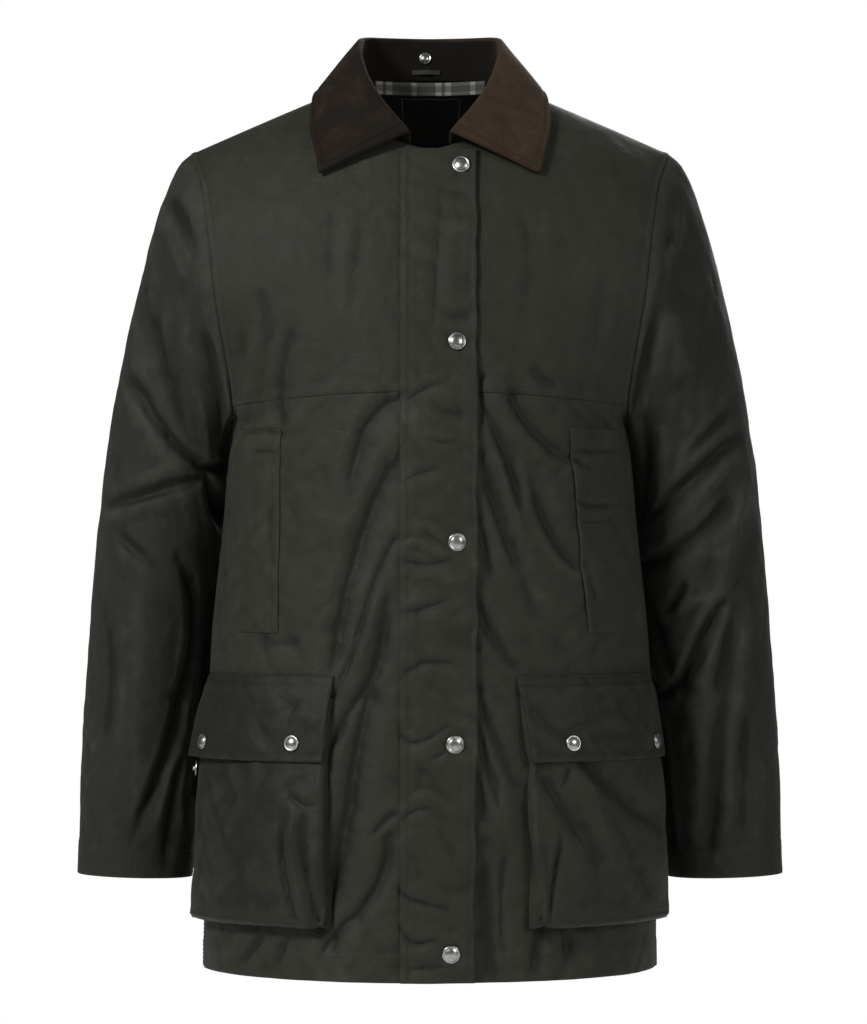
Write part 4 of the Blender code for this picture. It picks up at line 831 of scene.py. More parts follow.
def plain_sleeve(side, turn, along):
    """The sleeve without creases. A turn starts at the ring's inner end and goes up its front."""
    rings = spline([r.along for r in RINGS], [r[1:] for r in RINGS], along)
    to_seam = armhole_loop(side, turn) - ring_points(side, turn, RINGS[0][1:])
    return ring_points(side, turn, rings.T) + to_seam * smooth(1 - along / ARMHOLE_FADE)[:, None]


def sleeve_cloth(side, turn, along):
    """(points, directions it faces) of a creased sleeve."""
    shape = np.shape(turn)
    turn, along = np.ravel(turn), np.ravel(along)
    inside = np.clip(along, 1, SLEEVE_LENGTH - 1)
    plain = plain_sleeve(side, turn, along)
    round_it = plain_sleeve(side, turn + 0.02, inside) - plain_sleeve(side, turn - 0.02, inside)
    down = plain_sleeve(side, turn, inside + 1) - plain_sleeve(side, turn, inside - 1)
    normals = unit(np.cross(down, round_it)) * side
    x, y, z = plain.T
    middle_y = spline([r.along for r in RINGS], [[r.middle_y] for r in RINGS], along)[:, 0]
    in_front = smooth(0.5 + (middle_y - y) / 40)
    wrap = from_armpit(turn) * SLEEVE_RADIUS
    beside_body = smooth(wrap / 30)
    pressed = in_front * beside_body * press(SLEEVE_CREASES[side], x, z)
    pressed += (1 - in_front) * beside_body * 0.7 * press(SLEEVE_CREASES[side], x, z + 34)
    pressed += 0.75 * beside_body * crumple((turn - math.pi) * SLEEVE_RADIUS, along, 43 + side)
    pressed -= 2.4 * smooth(1 - wrap / 50) * np.exp(-(((along - 20) / 26) ** 2)) * smooth(along / 10)
    pressed += pucker(along, wrap, 45, reach=15)
    pressed += pucker(SLEEVE_LENGTH - along, wrap, 46, reach=24, pitch=13)
    pressed *= smooth(along / 26) * (0.35 + 0.65 * smooth((SLEEVE_LENGTH - along) / 40))
    return (plain - normals * pressed[:, None]).reshape(*shape, 3), normals.reshape(*shape, 3)


SLEEVE_COLUMNS, SLEEVE_WEAVE = 168, 3.3
for side, word in ((-1, "right"), (1, "left")):
    turn = np.linspace(0, 2 * math.pi, SLEEVE_COLUMNS + 1)[:-1]
    along = edge_steps(SLEEVE_LENGTH, SLEEVE_WEAVE)
    turns, alongs = np.meshgrid(turn, along)
    points, normals = sleeve_cloth(side, turns, alongs)
    through, across = armhole_mitre(side, turn)
    for i in np.nonzero(along < 18)[0]:
        share = smooth(1 - along[i] / 18)
        normals[i] = unit(normals[i] * (1 - share) + through * share)
        points[i] += across * (SEAM_GAP / 2) * smooth(1 - along[i] / 2)
    full = (0.5 + 0.5 * rolled(alongs)) * rolled(SLEEVE_LENGTH - alongs)
    layers = 0.45 * (1 - smooth((SLEEVE_LENGTH - alongs - 24) / 2.2))
    outer = points + normals * (layers - 1.1 * (1 - full))[..., None]
    uv = np.stack(np.meshgrid(np.linspace(-1, 1, SLEEVE_COLUMNS + 1) * 250, -along), axis=-1)
    order = slice(None, None, -1 if side < 0 else 1)
    # The sleeves' ridges may come out paler than the body's, as painted highlight on their folds.
    proud = proudness(outer, normals, most=0.9)
    stitch_runs["sleeve"].append(inset_line(np.concatenate([outer, outer[:, :1]], 1), "top", 23))
    piece = wall(f"{word}_sleeve_cloth", outer[::-1, order], (points - normals * SHELL)[::-1, order],
                 uv[::-1, order], shaded_sleeve_wax, proud[::-1, order])
    dressed(piece, [f"{word}_sleeve"])

# ================================================================ storm flap
# A strip of doubled cloth over the fastening, from the neck to the hem. Its edge on the wearer's right
# is stitched down and the other is free, so it stands off and throws a thin shadow.
DOUBLE_CLOTH, POCKET_CLOTH = 2.4, 1.5
STORM_TOP = -63.0
Lines = namedtuple("Lines", "z storm pocket welt_in welt_out pocket_out")
UPRIGHT_LINES = {
    -1: (
        Lines(HEM_Z, 24.4, 0.282, 0.475, 0.70, 0.885),
        Lines(BAG_FOOT, 24.4, 0.282, 0.475, 0.70, 0.885),
        Lines(FLAP_FOOT, 24.4, 0.295, 0.475, 0.69, 0.885),
        Lines(FLAP_TOP, 24.4, 0.278, 0.475, 0.68, 0.885),
        Lines(WELT_FOOT, 24.4, 0.276, 0.476, 0.672, 0.885),
        Lines(ARMPIT_Z, 24.4, 0.270, 0.527, 0.80, 0.91),
        Lines(YOKE_Z, 24.4, 0.270, 0.527, 0.80, 0.91),
    ),
    1: (
        Lines(HEM_Z, 36.0, 0.283, 0.500, 0.70, 0.885),
        Lines(BAG_FOOT, 36.3, 0.283, 0.500, 0.70, 0.885),
        Lines(FLAP_FOOT, 37.6, 0.282, 0.502, 0.69, 0.885),
        Lines(FLAP_TOP, 38.5, 0.248, 0.504, 0.68, 0.885),
        Lines(WELT_FOOT, 38.5, 0.247, 0.504, 0.68, 0.885),
        Lines(ARMPIT_Z, 38.5, 0.250, 0.479, 0.78, 0.90),
        Lines(YOKE_Z, 38.5, 0.250, 0.490, 0.78, 0.90),
    ),
}


def upright(side, line, z):
    """Where one of the front's upright lines lies at heights z: mm for storm, a share of u for the rest."""
    table = UPRIGHT_LINES[side]
    return np.interp(z, [row.z for row in table], [getattr(row, line) for row in table])


def grid_normals(grid):
    """The directions in which a grid of points faces, with columns to the right and rows up."""
    return unit(np.cross(np.gradient(grid, axis=1), np.gradient(grid, axis=0)))


STORM_CUT, STORM_WIDTH, TOP_POINTS = 62.0, 62.5, 35
climb = halve(np.full(TOP_POINTS, 600.0), np.full(TOP_POINTS, SHOULDER), lambda girth: plain_body(
    u_at(np.linspace(STORM_RIGHT, STORM_LEFT, TOP_POINTS), girth), girth)[:, 2] > STORM_TOP)
across_top = np.linspace(0, 1, TOP_POINTS)
steps = edge_steps(float(np.interp(np.linspace(0, 1, 200), across_top, climb).mean()), 2.1)
shares = edge_steps(STORM_CUT, 2.0) / STORM_CUT
girth = (steps / steps[-1])[:, None] * np.interp(shares, across_top, climb)[None]
free_edge = upright(1, "storm", np.minimum(HEM_Z + girth, YOKE_Z))
x = STORM_RIGHT + (free_edge - STORM_RIGHT) * shares[None]
columns = u_at(x.ravel(), girth.ravel()).reshape(x.shape)
points, normals = front_cloth(columns, girth)
off_left, off_right = (1 - shares[None]) * STORM_WIDTH, shares[None] * STORM_WIDTH
across_it = 1.5 * waver(girth + 0.35 * x + 5 * waver(x, 17, 54), 10.5, 53)
across_it = across_it * (0.55 + 0.45 * swell(x, girth, 24, 55))
for snap_x, snap_z in SNAP_PULLS:
    across_it *= 1 - np.exp(-((np.hypot(x - snap_x, HEM_Z + girth - snap_z) / 11) ** 4))
points -= normals * (across_it * smooth((off_right - 8) / 8) * smooth(off_left / 10))[..., None]
from_low, from_top = girth, climb.mean() - girth
stand_off = 1.1 * smooth(1 - off_left / 16) * (0.7 + 0.5 * waver(girth, 46, 51))
stand_off += 0.5 * smooth(1 - off_left / 5)
base = points + normals * (LIFT + stand_off)[..., None]
base[..., 0] += 0.9 * smooth(1 - off_left / 6) * waver(girth, 21, 52)
normals = grid_normals(base)
full = rolled(from_low) * rolled(from_top, 1.6) * rolled(off_left + 0 * girth) * rolled(off_right + 0 * girth)
groove = 0.35 * (np.exp(-(((off_right - 6.6) / 0.9) ** 2)) + np.exp(-(((off_left - 6.0) / 0.9) ** 2)))
groove = groove + 0.30 * np.exp(-(((from_low - 21) / 0.9) ** 2))
storm_outer = base + normals * (DOUBLE_CLOTH - groove - 1.3 * (1 - full))[..., None]
storm = wall("storm_flap_cloth", storm_outer, base, np.stack([x, girth], -1), body_wax,
             proudness(storm_outer, normals) + 0.15)
dressed(storm, ["storm_flap"])
stitch_runs["storm_flap"] += [
    inset_line(storm_outer, "first", 1.9, 2), inset_line(storm_outer, "first", 6.6, 2),
    inset_line(storm_outer, "last", 6.0, 2), inset_line(storm_outer, "low", 21, 2),
    inset_line(storm_outer, "top", 5, 2),
]

# ================================================================ hand-warmer welts
# A narrow panel on each side of the chest, sewn down round three sides; the hand goes in behind its
# slanted inner edge, which is folded and has a bar tack at its foot.
WELT_CREASES = (
    (1.4, 2.8, 0, 0.6, 0.2, 117, -314, 140, -315, 164, -313),
    (1.4, 2.8, 0, 0.8, 0.2, 120, -322, 128, -327, 137, -331),
    (1.4, 2.8, 0, 0.8, 0.2, 123, -358, 140, -360, 156, -359),
    (1, 2.8, 0, 0.6, 0.2, 124, -371, 138, -374, 150, -371),
    (1.2, 3.8, 0, 0.4, 0.3, 127, -399, 132, -420, 141, -441),
    (1.2, 3.3, 0, 0.5, 0.2, -124, -318, -138, -314, -152, -317),
    (1, 3.8, 0, 0.2, 0.4, -131, -345, -133, -380, -129, -420),
)
WELT_CLOTH, WELT_GAPE = {-1: 0.9, 1: 1.3}, {-1: 0.1, 1: 1.0}


def front_patch(side, z_low, z_high, first, last, spacing):
    """(points, directions they face, girth, across, width, up) of a patch of the front between two of its
    upright lines. across is the distance from its left side in the front view, up that from its foot."""
    up = edge_steps(z_high - z_low, spacing)
    z = z_low + up
    first_u, last_u = side * upright(side, first, z), side * upright(side, last, z)
    left, right = (last_u, first_u) if side < 0 else (first_u, last_u)
    ends = [plain_body(u, z - HEM_Z) for u in (left, right)]
    width = float(np.linalg.norm(ends[1] - ends[0], axis=1).mean()) * 1.02
    shares = edge_steps(width, spacing) / width
    u = left[:, None] + (right - left)[:, None] * shares[None]
    girth = np.repeat((z - HEM_Z)[:, None], len(shares), 1)
    across = np.repeat(shares[None] * width, len(z), 0)
    return *front_cloth(u, girth), girth, across, width, girth - girth[0, 0]


def pressed_grid(grid, creases, seed=None):
    """A grid of points with creases of its own pressed in along its normals."""
    normals = grid_normals(grid)
    x, z = grid[..., 0].ravel(), grid[..., 2].ravel()
    depth = press(creases, x, z)
    if seed is not None:
        depth = depth + 0.35 * crumple(x, z, seed)
    return grid - normals * depth.reshape(grid.shape[:2])[..., None]


for side, word in ((-1, "right"), (1, "left")):
    points, normals, girth, across, width, up = front_patch(
        side, WELT_FOOT, ARMPIT_Z, "welt_in", "welt_out", 2.0)
    height = up[-1, 0]
    from_inner = width - across if side < 0 else across
    mouth = smooth(1 - from_inner / 14) * smooth(up / 20) * smooth((height - up) / 18) * WELT_GAPE[side]
    base = points + normals * (LIFT + 0.9 * mouth)[..., None]
    base = pressed_grid(base, WELT_CREASES)
    normals = grid_normals(base)
    full = rolled(up) * rolled(height - up) * rolled(across) * rolled(width - across)
    groove = 0.22 * np.exp(-(((from_inner - 7) / 0.9) ** 2)) - 0.55 * smooth(waver(up, 6.5, 81 + side)) * (
        np.exp(-(((from_inner - 5) / 3.5) ** 2)) + np.exp(-(((width - from_inner - 4) / 3.5) ** 2)))
    outer = base + normals * (WELT_CLOTH[side] + 0.3 * mouth - groove - 0.7 * (1 - full))[..., None]
    piece = wall(f"{word}_hand_pocket_welt_cloth", outer, base, np.stack([across, girth], -1), body_wax,
                 proudness(outer, normals))
    dressed(piece, [f"{word}_hand_pocket_welt"])
    inner_edge, outer_edge = ("last", "first") if side < 0 else ("first", "last")
    stitch_runs["pocket"] += [inset_line(outer, edge, inset, 2) for edge, inset in (
        (inner_edge, 1.8), (inner_edge, 7.0), (outer_edge, 1.8), ("top", 1.8), ("low", 1.8))]

# ================================================================ bellows pockets
# Each bag is one piece of single cloth. Its sides and foot are pleated into a bellows, so its face
# stands off the front, with a pinched and stitched border.
BAG_HEIGHTS = ((BAG_FOOT, 13.0), (-600.0, 10.0), (-560.0, 6.5), (-515.0, 1.2))
BAG_TOP = -518.0
BAG_CREASES = (
    # left bag, from the snap down
    (6.8, 8, 0, 0.8, 0.4, 128, -570, 150, -592, 192, -632),
    (-6.2, 8, 0, 0.6, 0.2, 124, -572, 138, -612, 158, -672),
    (6.2, 7.6, 0, 0.7, 0.3, 88, -574, 106, -602, 138, -650),
    (2.7, 3.4, 0, 0.4, 0.2, 114, -572, 112, -584, 104, -598),
    (3.2, 3.4, 0, 0.2, 1, 81, -618, 85, -656, 93, -705),
    (3, 3.2, 0, 0.2, 1, 108, -626, 101, -667, 97, -702),
    (-2.8, 3, 0, 0.2, 1, 104, -620, 99, -667, 95, -702),
    (-3, 3.4, 0, 0.2, 1, 88, -623, 92, -667, 94, -700),
    (2.2, 7, 0, 0.2, 0.2, 168, -650, 178, -672, 186, -694),
    # right bag
    (3.4, 3.6, 0, 0.3, 1, -100, -606, -103, -650, -90, -703),
    (-3.8, 4.5, 0, 0.2, 0.8, -109, -604, -113, -644, -100, -699),
    (3.2, 3.4, 0, 0.3, 0.6, -117, -612, -121, -650, -110, -698),
    (3, 4, 0, 0.3, 0.3, -116, -593, -106, -605, -93, -604),
    (-2.4, 4.5, 0, 0.8, 0.1, -143, -573, -143, -586, -143, -599),
    (2.4, 6, 0, 0.6, 0.1, -172, -574, -166, -595, -159, -607),
    (1.9, 9, 0, 0.2, 0.2, -150, -620, -158, -660, -150, -694),
)


def bag_height(z):
    """How far a bag's face stands off the front."""
    return np.interp(z, *zip(*BAG_HEIGHTS))


for side, word in ((-1, "right"), (1, "left")):
    points, normals, girth, across, width, up = front_patch(
        side, BAG_FOOT, BAG_TOP, "pocket", "pocket_out", 2.0)
    rim = np.minimum(np.minimum(across, width - across), up)
    stands = bag_height(girth + HEM_Z)
    riser = smooth(rim / 1.6) ** 0.7
    crown = 1.5 * smooth((rim - 6) / 34)
    pinch = 0.3 * np.exp(-(((rim - 2.2) / 1.3) ** 2)) - 0.45 * np.exp(-(((rim - 5.2) / 1.4) ** 2))
    sag = 0.8 * waver(across, 42, 61 + side) * smooth(rim / 16)
    base = points + normals * (LIFT + stands * riser + (crown + pinch + sag) * smooth(stands / 5))[..., None]
    base += normals * 0.35 * (rim < 0.01)[..., None]
    base = pressed_grid(base, BAG_CREASES, 63 + side)
    normals = grid_normals(base)
    outer = base + normals * POCKET_CLOTH
    # The whole bag is painted darker, the wearer's right one most, as painted shade.
    piece = wall(f"{word}_pocket_bag_cloth", outer, base, np.stack([across, girth], -1), body_wax,
                 proudness(outer, normals) - (0.95 if side < 0 else 0.3))
    dressed(piece, [f"{word}_pocket_bag"])
    stitch_runs["pocket"] += [inset_line(outer, edge, inset, 9)
                              for edge, inset in (("first", 14.5), ("last", 14.5), ("low", 17.0))]
    if side < 0:
        right_bag_face = outer

# ================================================================ pocket flaps
# Doubled cloth, sewn to the front along the top and closed over the bag with two snaps. The flap on the
# wearer's right has curled, so its outer corner stands off the bag.
FLAP_CLEARANCE = 0.7
FLAP_LIFT = {-1: 7.0, 1: 0.6}
FLAP_CREASES = (
    (2.8, 5.7, 0, 0.4, 0.8, 79, -519, 93, -538, 109, -552),
    (-1.4, 4.8, 0, 0.3, 0.3, 127, -548, 148, -542, 172, -547),
    (1.4, 4.8, 0, 0.3, 0.3, -107, -519, -115, -532, -118, -548),
    (-1.4, 5.7, 0, 0.2, 0.4, -156, -548, -143, -556, -131, -568),
)
flap_faces = {}
for side, word in ((-1, "right"), (1, "left")):
    points, normals, girth, across, width, up = front_patch(
        side, FLAP_FOOT, FLAP_TOP, "pocket", "pocket_out", 1.8)
    height = up[-1, 0]
    out = 1 - across / width if side < 0 else across / width
    clear = bag_height(girth + HEM_Z) + POCKET_CLOTH + FLAP_CLEARANCE
    clear = clear + 1.5 * smooth((FLAP_TOP - 8 - (girth + HEM_Z)) / 30) * smooth(
        np.minimum(across, width - across) / 34)
    clear = clear * smooth((height - up) / 17)
    curl = FLAP_LIFT[side] * (1 - up / height) * out**2
    base = points + normals * (LIFT + clear + curl)[..., None]
    base = pressed_grid(base, FLAP_CREASES, 67 + side)
    normals = grid_normals(base)
    full = rolled(up) * rolled(height - up) * rolled(across) * rolled(width - across)
    rim = np.minimum(np.minimum(across, width - across), up)
    groove = 0.45 * np.exp(-(((rim - 5.6) / 0.9) ** 2)) * (up < height - 6)
    groove = groove + 0.6 * np.exp(-(((height - up - 8.0) / 1.0) ** 2))
    groove = groove + 0.4 * np.exp(-(((height - up - 2.2) / 0.9) ** 2))
    outer = base + normals * (DOUBLE_CLOTH - groove - 1.2 * (1 - full))[..., None]
    # The whole flap is painted darker, the wearer's right one most, as painted shade.
    piece = wall(f"{word}_pocket_flap_cloth", outer, base, np.stack([across, girth], -1), body_wax,
                 proudness(outer, normals) - (1.25 if side < 0 else 0.8))
    dressed(piece, [f"{word}_pocket_flap"])
    flap_faces[side] = outer
    stitch_runs["pocket"] += [inset_line(outer, edge, 5.6, 5.6) for edge in ("first", "last", "low")]
    stitch_runs["pocket"] += [inset_line(outer, "top", inset, 2) for inset in (1.8, 8.0)]

# ================================================================ corduroy collar
# Brown needlecord, cut as a stand round the neck and a fall that folds over it. The wales run from the
# fold to the free edge. The wearer's left side of the fall is painted paler and the right darker, as a
# painted sheen of the nap, and the stand is a darker copy of the cord, as painted shade. The free edge is
# turned and topstitched.
CORDUROY = 2.6
Station = namedtuple("Station", "turn roll_x roll_y roll_z edge_u edge_girth")
COLLAR = (
    Station(0, 0, 58, 40.9, 0.0, 843),
    Station(25, 27, 54, 40.9, 0.172, 829),
    Station(50, 48, 39, 40.2, 0.320, 810),
    Station(75, 59, 16, 36.6, 0.383, 788),
    Station(97, 60, -9, 26, 0.407, 761),
    Station(118, 55, -34, 6, 0.407, 735),
    Station(138, 44, -57, -16, 0.408, 706),
    Station(165, 18, -79, -49, 0.412, 678),
)
FALL_STANDS_OFF, FALL_BULGE = 3.0, 0.8
CORNER = {-1: 3.0, 1: 7.0}  # the rounding of the collar's two points
FOLD_ROWS = 8  # rows of the mesh that go round the fold
WALE = 2.8


def neck_points(turns):
    """The neck seam: turn is 0 at centre back, 180 at centre front and negative on the right."""
    u = np.linspace(0, NECK_U, 160)
    x = NECK_HALF_WIDTH * np.sin(np.radians(np.abs(turns)))
    rows = []
    for back_half in (True, False):
        ends = plain_body(u, neckline(u, back_half))
        y, z = (np.interp(x, ends[:, 0], ends[:, k]) for k in (1, 2))
        rows.append(np.stack([x * np.sign(turns), y, z], -1))
    return np.where(np.abs(turns)[:, None] < 90, rows[0], rows[1])


def collar_lines(turns):
    """(neck seam, fold line, free edge) of the collar."""
    mirrored = [s._replace(turn=-s.turn, roll_x=-s.roll_x, edge_u=-s.edge_u) for s in COLLAR[:0:-1]]
    table = [*mirrored, *COLLAR]
    row = spline([s.turn for s in table], [s[1:] for s in table], turns)
    edge = plain_body(row[:, 3], row[:, 4]) + body_normals(row[:, 3], row[:, 4]) * FALL_STANDS_OFF
    return neck_points(turns) + (0, 0, SEAM_GAP + 0.2), row[:, :3], edge


turns = np.linspace(-COLLAR[-1].turn, COLLAR[-1].turn, 641)
neck, fold, edge = collar_lines(turns)
run = walked((fold + edge) / 2)
run_all = float(run[-1])
spaced = edge_steps(run_all, WALE / 3)
turns = np.interp(spaced, run, turns)
neck, fold, edge = collar_lines(turns)
from_end = np.minimum(spaced, run_all - spaced)

reach = np.linalg.norm(edge - fold, axis=1)
down = edge_steps(float(reach.mean()), 1.9, rim=(0,))
down = np.concatenate([down[:-1], down[-1] - np.array([1.2, 0.5, 0.15, 0])])
corner = np.where(turns < 0, CORNER[-1], CORNER[1])
cut = corner - np.sqrt(np.maximum(0, corner**2 - np.maximum(0, corner - from_end) ** 2))
share = 0.01 + (down / down[-1])[:, None] * (1 - cut / reach - 0.01)[None]
bulge = unit(np.stack([fold[:, 0], fold[:, 1], 0 * turns], -1)) * FALL_BULGE + (0, 0, FALL_BULGE)
drop = share[..., None]
fall = fold + (edge - fold) * drop + bulge * 4 * drop * (1 - drop)
facing = grid_normals(fall)
soft = 0.7 * swell(spaced[None] + 0 * share, share * 75, 34, 71) * smooth(share * 4)
soft = soft + 0.35 * waver(spaced, 27, 72) * smooth(share * 3 - 2)
fall = fall + facing * soft[..., None]
facing = grid_normals(fall)
from_edge = (1 - cut / reach - share) * reach
full = rolled(from_edge, 1.5) * rolled(from_end, 1.5)
rim = np.minimum(from_edge, from_end)
groove = 0.55 * np.exp(-(((rim - 6.4) / 1.3) ** 2))
plump = 0.35 * smooth(1 - np.abs(rim - 3.2) / 3.2)
fall_outer = fall + facing * (CORDUROY + plump - groove - 1.4 * (1 - full))[..., None]

up_stand = unit(fold - neck)
toward_neck = unit(np.cross(np.gradient(fold, axis=0), up_stand))
over = unit(up_stand - unit(fall[3] - fall[0]))
wrap = np.linspace(-0.14, 1, FOLD_ROWS + 1)[:-1, None, None]
around = unit(
    toward_neck * np.maximum(0, np.cos(np.pi * wrap)) + over * np.sin(np.pi * wrap)
    + facing[0] * np.maximum(0, -np.cos(np.pi * wrap))
)
end_share = rolled(from_end, 1.5)
fold_over = fall[0] + around * (CORDUROY - 1.2 * (1 - end_share))[None, :, None]
outer = np.concatenate([fold_over, fall_outer])
inner = np.concatenate([fall[0] + around * 0.3, fall + facing * 0.02])
length = np.concatenate([np.linspace(-6, -0.8, FOLD_ROWS)[:, None] + 0 * spaced[None], share * reach])
across = spaced[None] + 0 * length


def corduroy(name, ground_and_shade, nap_and_sheen, roughness):
    """Needlecord: a soft pile, with painted shade in the grooves between the wales and a painted nap sheen,
    paler on one side and darker where the nap is brushed away from the light.
    """
    cord = Finish(name, {"Roughness": roughness, "Specular IOR Level": 0.12, "Sheen Weight": 0.18,
                         "Sheen Roughness": 0.45, "Sheen Tint": (0.62, 0.48, 0.38, 1)})
    brushed, pile = cord.noise(40.0, 5.0, 0.68, 0.8), cord.noise(1300.0, 2.0, 0.7)
    rib, nap_sheen_and_shade = cord.carried("rib"), cord.carried("wear_and_shade")
    # rib paints shade in the grooves between the wales; the carried value holds the painted nap sheen and the
    # painted shade of the topstitch groove.
    lay = cord.total(-0.09, (brushed, 0.80), (pile, 0.24), (rib, 0.13), (nap_sheen_and_shade, 0.20))
    between = tuple((a + b) / 2 for a, b in zip(ground_and_shade, nap_and_sheen))
    cord.tint(lay, ((0.22, ground_and_shade), (0.52, between), (0.86, nap_and_sheen)))
    cord.relief(pile, 0.5, 0.0003)
    return cord.material


class Pattern:
    """What repeats on a piece: a Geometry Nodes tree with named inputs, given as name: kind."""

    def __init__(self, name, inputs):
        self.tree = bpy.data.node_groups.new(name, "GeometryNodeTree")
        face = self.tree.interface
        self.identifiers = {}
        for title, kind in {"Geometry": "Geometry", **inputs}.items():
            socket = face.new_socket(title, in_out="INPUT", socket_type=f"NodeSocket{kind}")
            self.identifiers[title] = socket.identifier
        face.new_socket("Geometry", in_out="OUTPUT", socket_type="NodeSocketGeometry")
        self.given = self.add("NodeGroupInput").outputs

    def add(self, kind, inputs={}, **settings):
        """A node, with its properties, and a value or a link for each socket in inputs."""
        node = self.tree.nodes.new(kind)
        for key, value in settings.items():
            setattr(node, key, value)
        for socket, value in inputs.items():
            if isinstance(value, bpy.types.NodeSocket):
                self.tree.links.new(value, node.inputs[socket])
            else:
                node.inputs[socket].default_value = value
        return node

    def work(self, operation, first, second=0.5):
        """The outcome of one sum on values or sockets."""
        return self.add("ShaderNodeMath", {0: first, 1: second}, operation=operation).outputs[0]

    def carried(self, name, kind="FLOAT"):
        """What the mesh carries at its points."""
        node = self.add("GeometryNodeInputNamedAttribute", {"Name": name}, data_type=kind)
        return node.outputs["Attribute"]

    def end(self, made, material):
        """Ends the tree: instances are made real and get their material."""
        real = self.add("GeometryNodeRealizeInstances", {0: made})
        coloured = self.add("GeometryNodeSetMaterial", {"Geometry": real.outputs[0], "Material": material})
        self.add("NodeGroupOutput", {0: coloured.outputs[0]})

    def run(self, piece, values):
        """Runs the tree on a piece and leaves it a plain mesh."""
        modifier = piece.modifiers.new(self.tree.name, "NODES")
        modifier.node_group = self.tree
        for title, value in values.items():
            modifier[self.identifiers[title]] = value
        graph = bpy.context.evaluated_depsgraph_get()
        plain = bpy.data.meshes.new_from_object(
            piece.evaluated_get(graph), preserve_all_data_layers=True, depsgraph=graph)
        piece.modifiers.clear()
        piece.data = plain
        return piece


wales = Pattern("wales", {"Pitch": "Float", "Height": "Float", "Finish": "Material"})
turn = wales.work("MULTIPLY", wales.work("DIVIDE", wales.carried("cord"), wales.given["Pitch"]), math.pi)
rib = wales.work("MULTIPLY", wales.work("ABSOLUTE", wales.work("SINE", turn)), wales.carried("rib_share"))
kept = wales.add("GeometryNodeStoreNamedAttribute", {
    "Geometry": wales.given["Geometry"], "Name": "rib", "Value": rib}, data_type="FLOAT", domain="POINT")
skin_normal = wales.add("GeometryNodeInputNormal").outputs[0]
tall = wales.work("MULTIPLY", rib, wales.given["Height"])
lift = wales.add("ShaderNodeVectorMath", {0: skin_normal, "Scale": tall}, operation="SCALE")
raised = wales.add("GeometryNodeSetPosition", {
    "Geometry": kept.outputs["Geometry"], "Offset": lift.outputs[0]})
wales.end(raised.outputs[0], wales.given["Finish"])


def ribbed(piece, across, share, height):
    """Raises the wales on a wall's outer skin, from the places across them and their share of the height."""
    carry(piece.data, "cord", np.tile(across.ravel(), 2))
    carry(piece.data, "rib_share", np.concatenate([share.ravel(), 0 * share.ravel()]))
    wales.run(piece, {"Pitch": WALE, "Height": height * MM, "Finish": piece.data.materials[0]})


brown_cord = corduroy("brown_corduroy", (0.0085, 0.0060, 0.0042), (0.052, 0.034, 0.0210), 0.85)
# The stand's cord: a darker copy of the fall's, as painted shade.
shaded_cord = corduroy("dark_corduroy", (0.0024, 0.0021, 0.0016), (0.0088, 0.0074, 0.0054), 0.9)
# Painted nap sheen: the wearer's left side of the fall paler, the right side darker.
nap_sheen_and_shade = 1.9 * smooth((spaced / run_all - 0.42) / 0.3) - 1.2 + 0 * length
to_rim = np.concatenate([np.repeat(rim[:1], FOLD_ROWS, 0), rim])
# Painted shade along the topstitch groove, 6.4 mm in from the edge.
fall_piece = wall("collar_fall_cloth", outer, inner, np.stack([across, length], -1), brown_cord,
                  nap_sheen_and_shade - 0.6 * np.exp(-(((to_rim - 6.4) / 1.6) ** 2)))
rib_share = np.concatenate([np.repeat(end_share[None], FOLD_ROWS, 0), smooth(rim / 3.5)])
ribbed(fall_piece, across, rib_share, 0.38)
dressed(fall_piece, ["collar_fall"])
stitch_runs["collar"].append(inset_line(fall_outer[:, 12:-12], "top", 6.4))
stitch_runs["collar"] += [inset_line(fall_outer[4:], edge, 6.4, 3) for edge in ("first", "last")]

rise = edge_steps(float(np.linalg.norm(fold - neck, axis=1).mean()), 1.9)
across, up = np.meshgrid(spaced, rise)
share = (rise / rise[-1])[:, None] * 0.985
stand = neck + (fold - neck) * share[..., None]
soft = 0.5 * swell(across, up, 30, 73) * np.sin(np.pi * share)
stand = stand + grid_normals(stand) * soft[..., None]
full = rolled(rise)[:, None] * rolled(rise[-1] - rise)[:, None] * rolled(from_end)
stand_outer = stand + grid_normals(stand) * (CORDUROY - 1.0 * (1 - full))[..., None]
stand_piece = wall("collar_stand_cloth", stand_outer, stand, np.stack([across, up], -1), shaded_cord,
                   0 * across)
ribbed(stand_piece, across, full * smooth(rise / 4)[:, None], 0.28)
dressed(stand_piece, ["collar_stand"])

# ================================================================ check lining, label and hanger loop
# A strip of the check lining faces the back neck. Below it is a woven label, left plain inside its thin
# border. A short loop on the stand hangs the jacket up.
PATCH_GIRTH, PATCH_SHARE = 812, 0.137  # where its x is taken, and its share of the way down to the armpits


def rolled_ends(steps):
    """How full a thin patch or tape stands at steps that cross it."""
    return rolled(np.minimum(steps, steps.max() - steps), 0.8)


def inside_patch(x_first, x_last, low_share, high_share, spacing, lift, thick):
    """(visible skin, hidden skin, uv) of a patch on the back's inner face. Shares count down the cloth
    from the neck seam."""
    across = edge_steps(x_last - x_first, spacing)
    u = np.array([float(u_at(x, PATCH_GIRTH)[0]) for x in x_first + across])
    seam = neckline(u, True)
    drop = (BACK_HEM - ARMPIT - seam) * PATCH_SHARE
    down = edge_steps(float((high_share - low_share) * drop.mean()), spacing)[::-1]
    share = high_share + (low_share - high_share) * (1 - down / down[0])
    girth = seam[None] + share[:, None] * drop[None]
    points, normals = back_cloth(np.repeat(u[None], len(down), 0), girth)
    full = rolled_ends(across) * rolled_ends(down)[:, None]
    hidden = points - normals * (SHELL + lift)
    shown = hidden - normals * (thick - 0.5 * thick * (1 - full))[..., None]
    uv = np.stack(np.meshgrid(across + x_first, down[0] - down), -1)
    return shown, hidden, uv


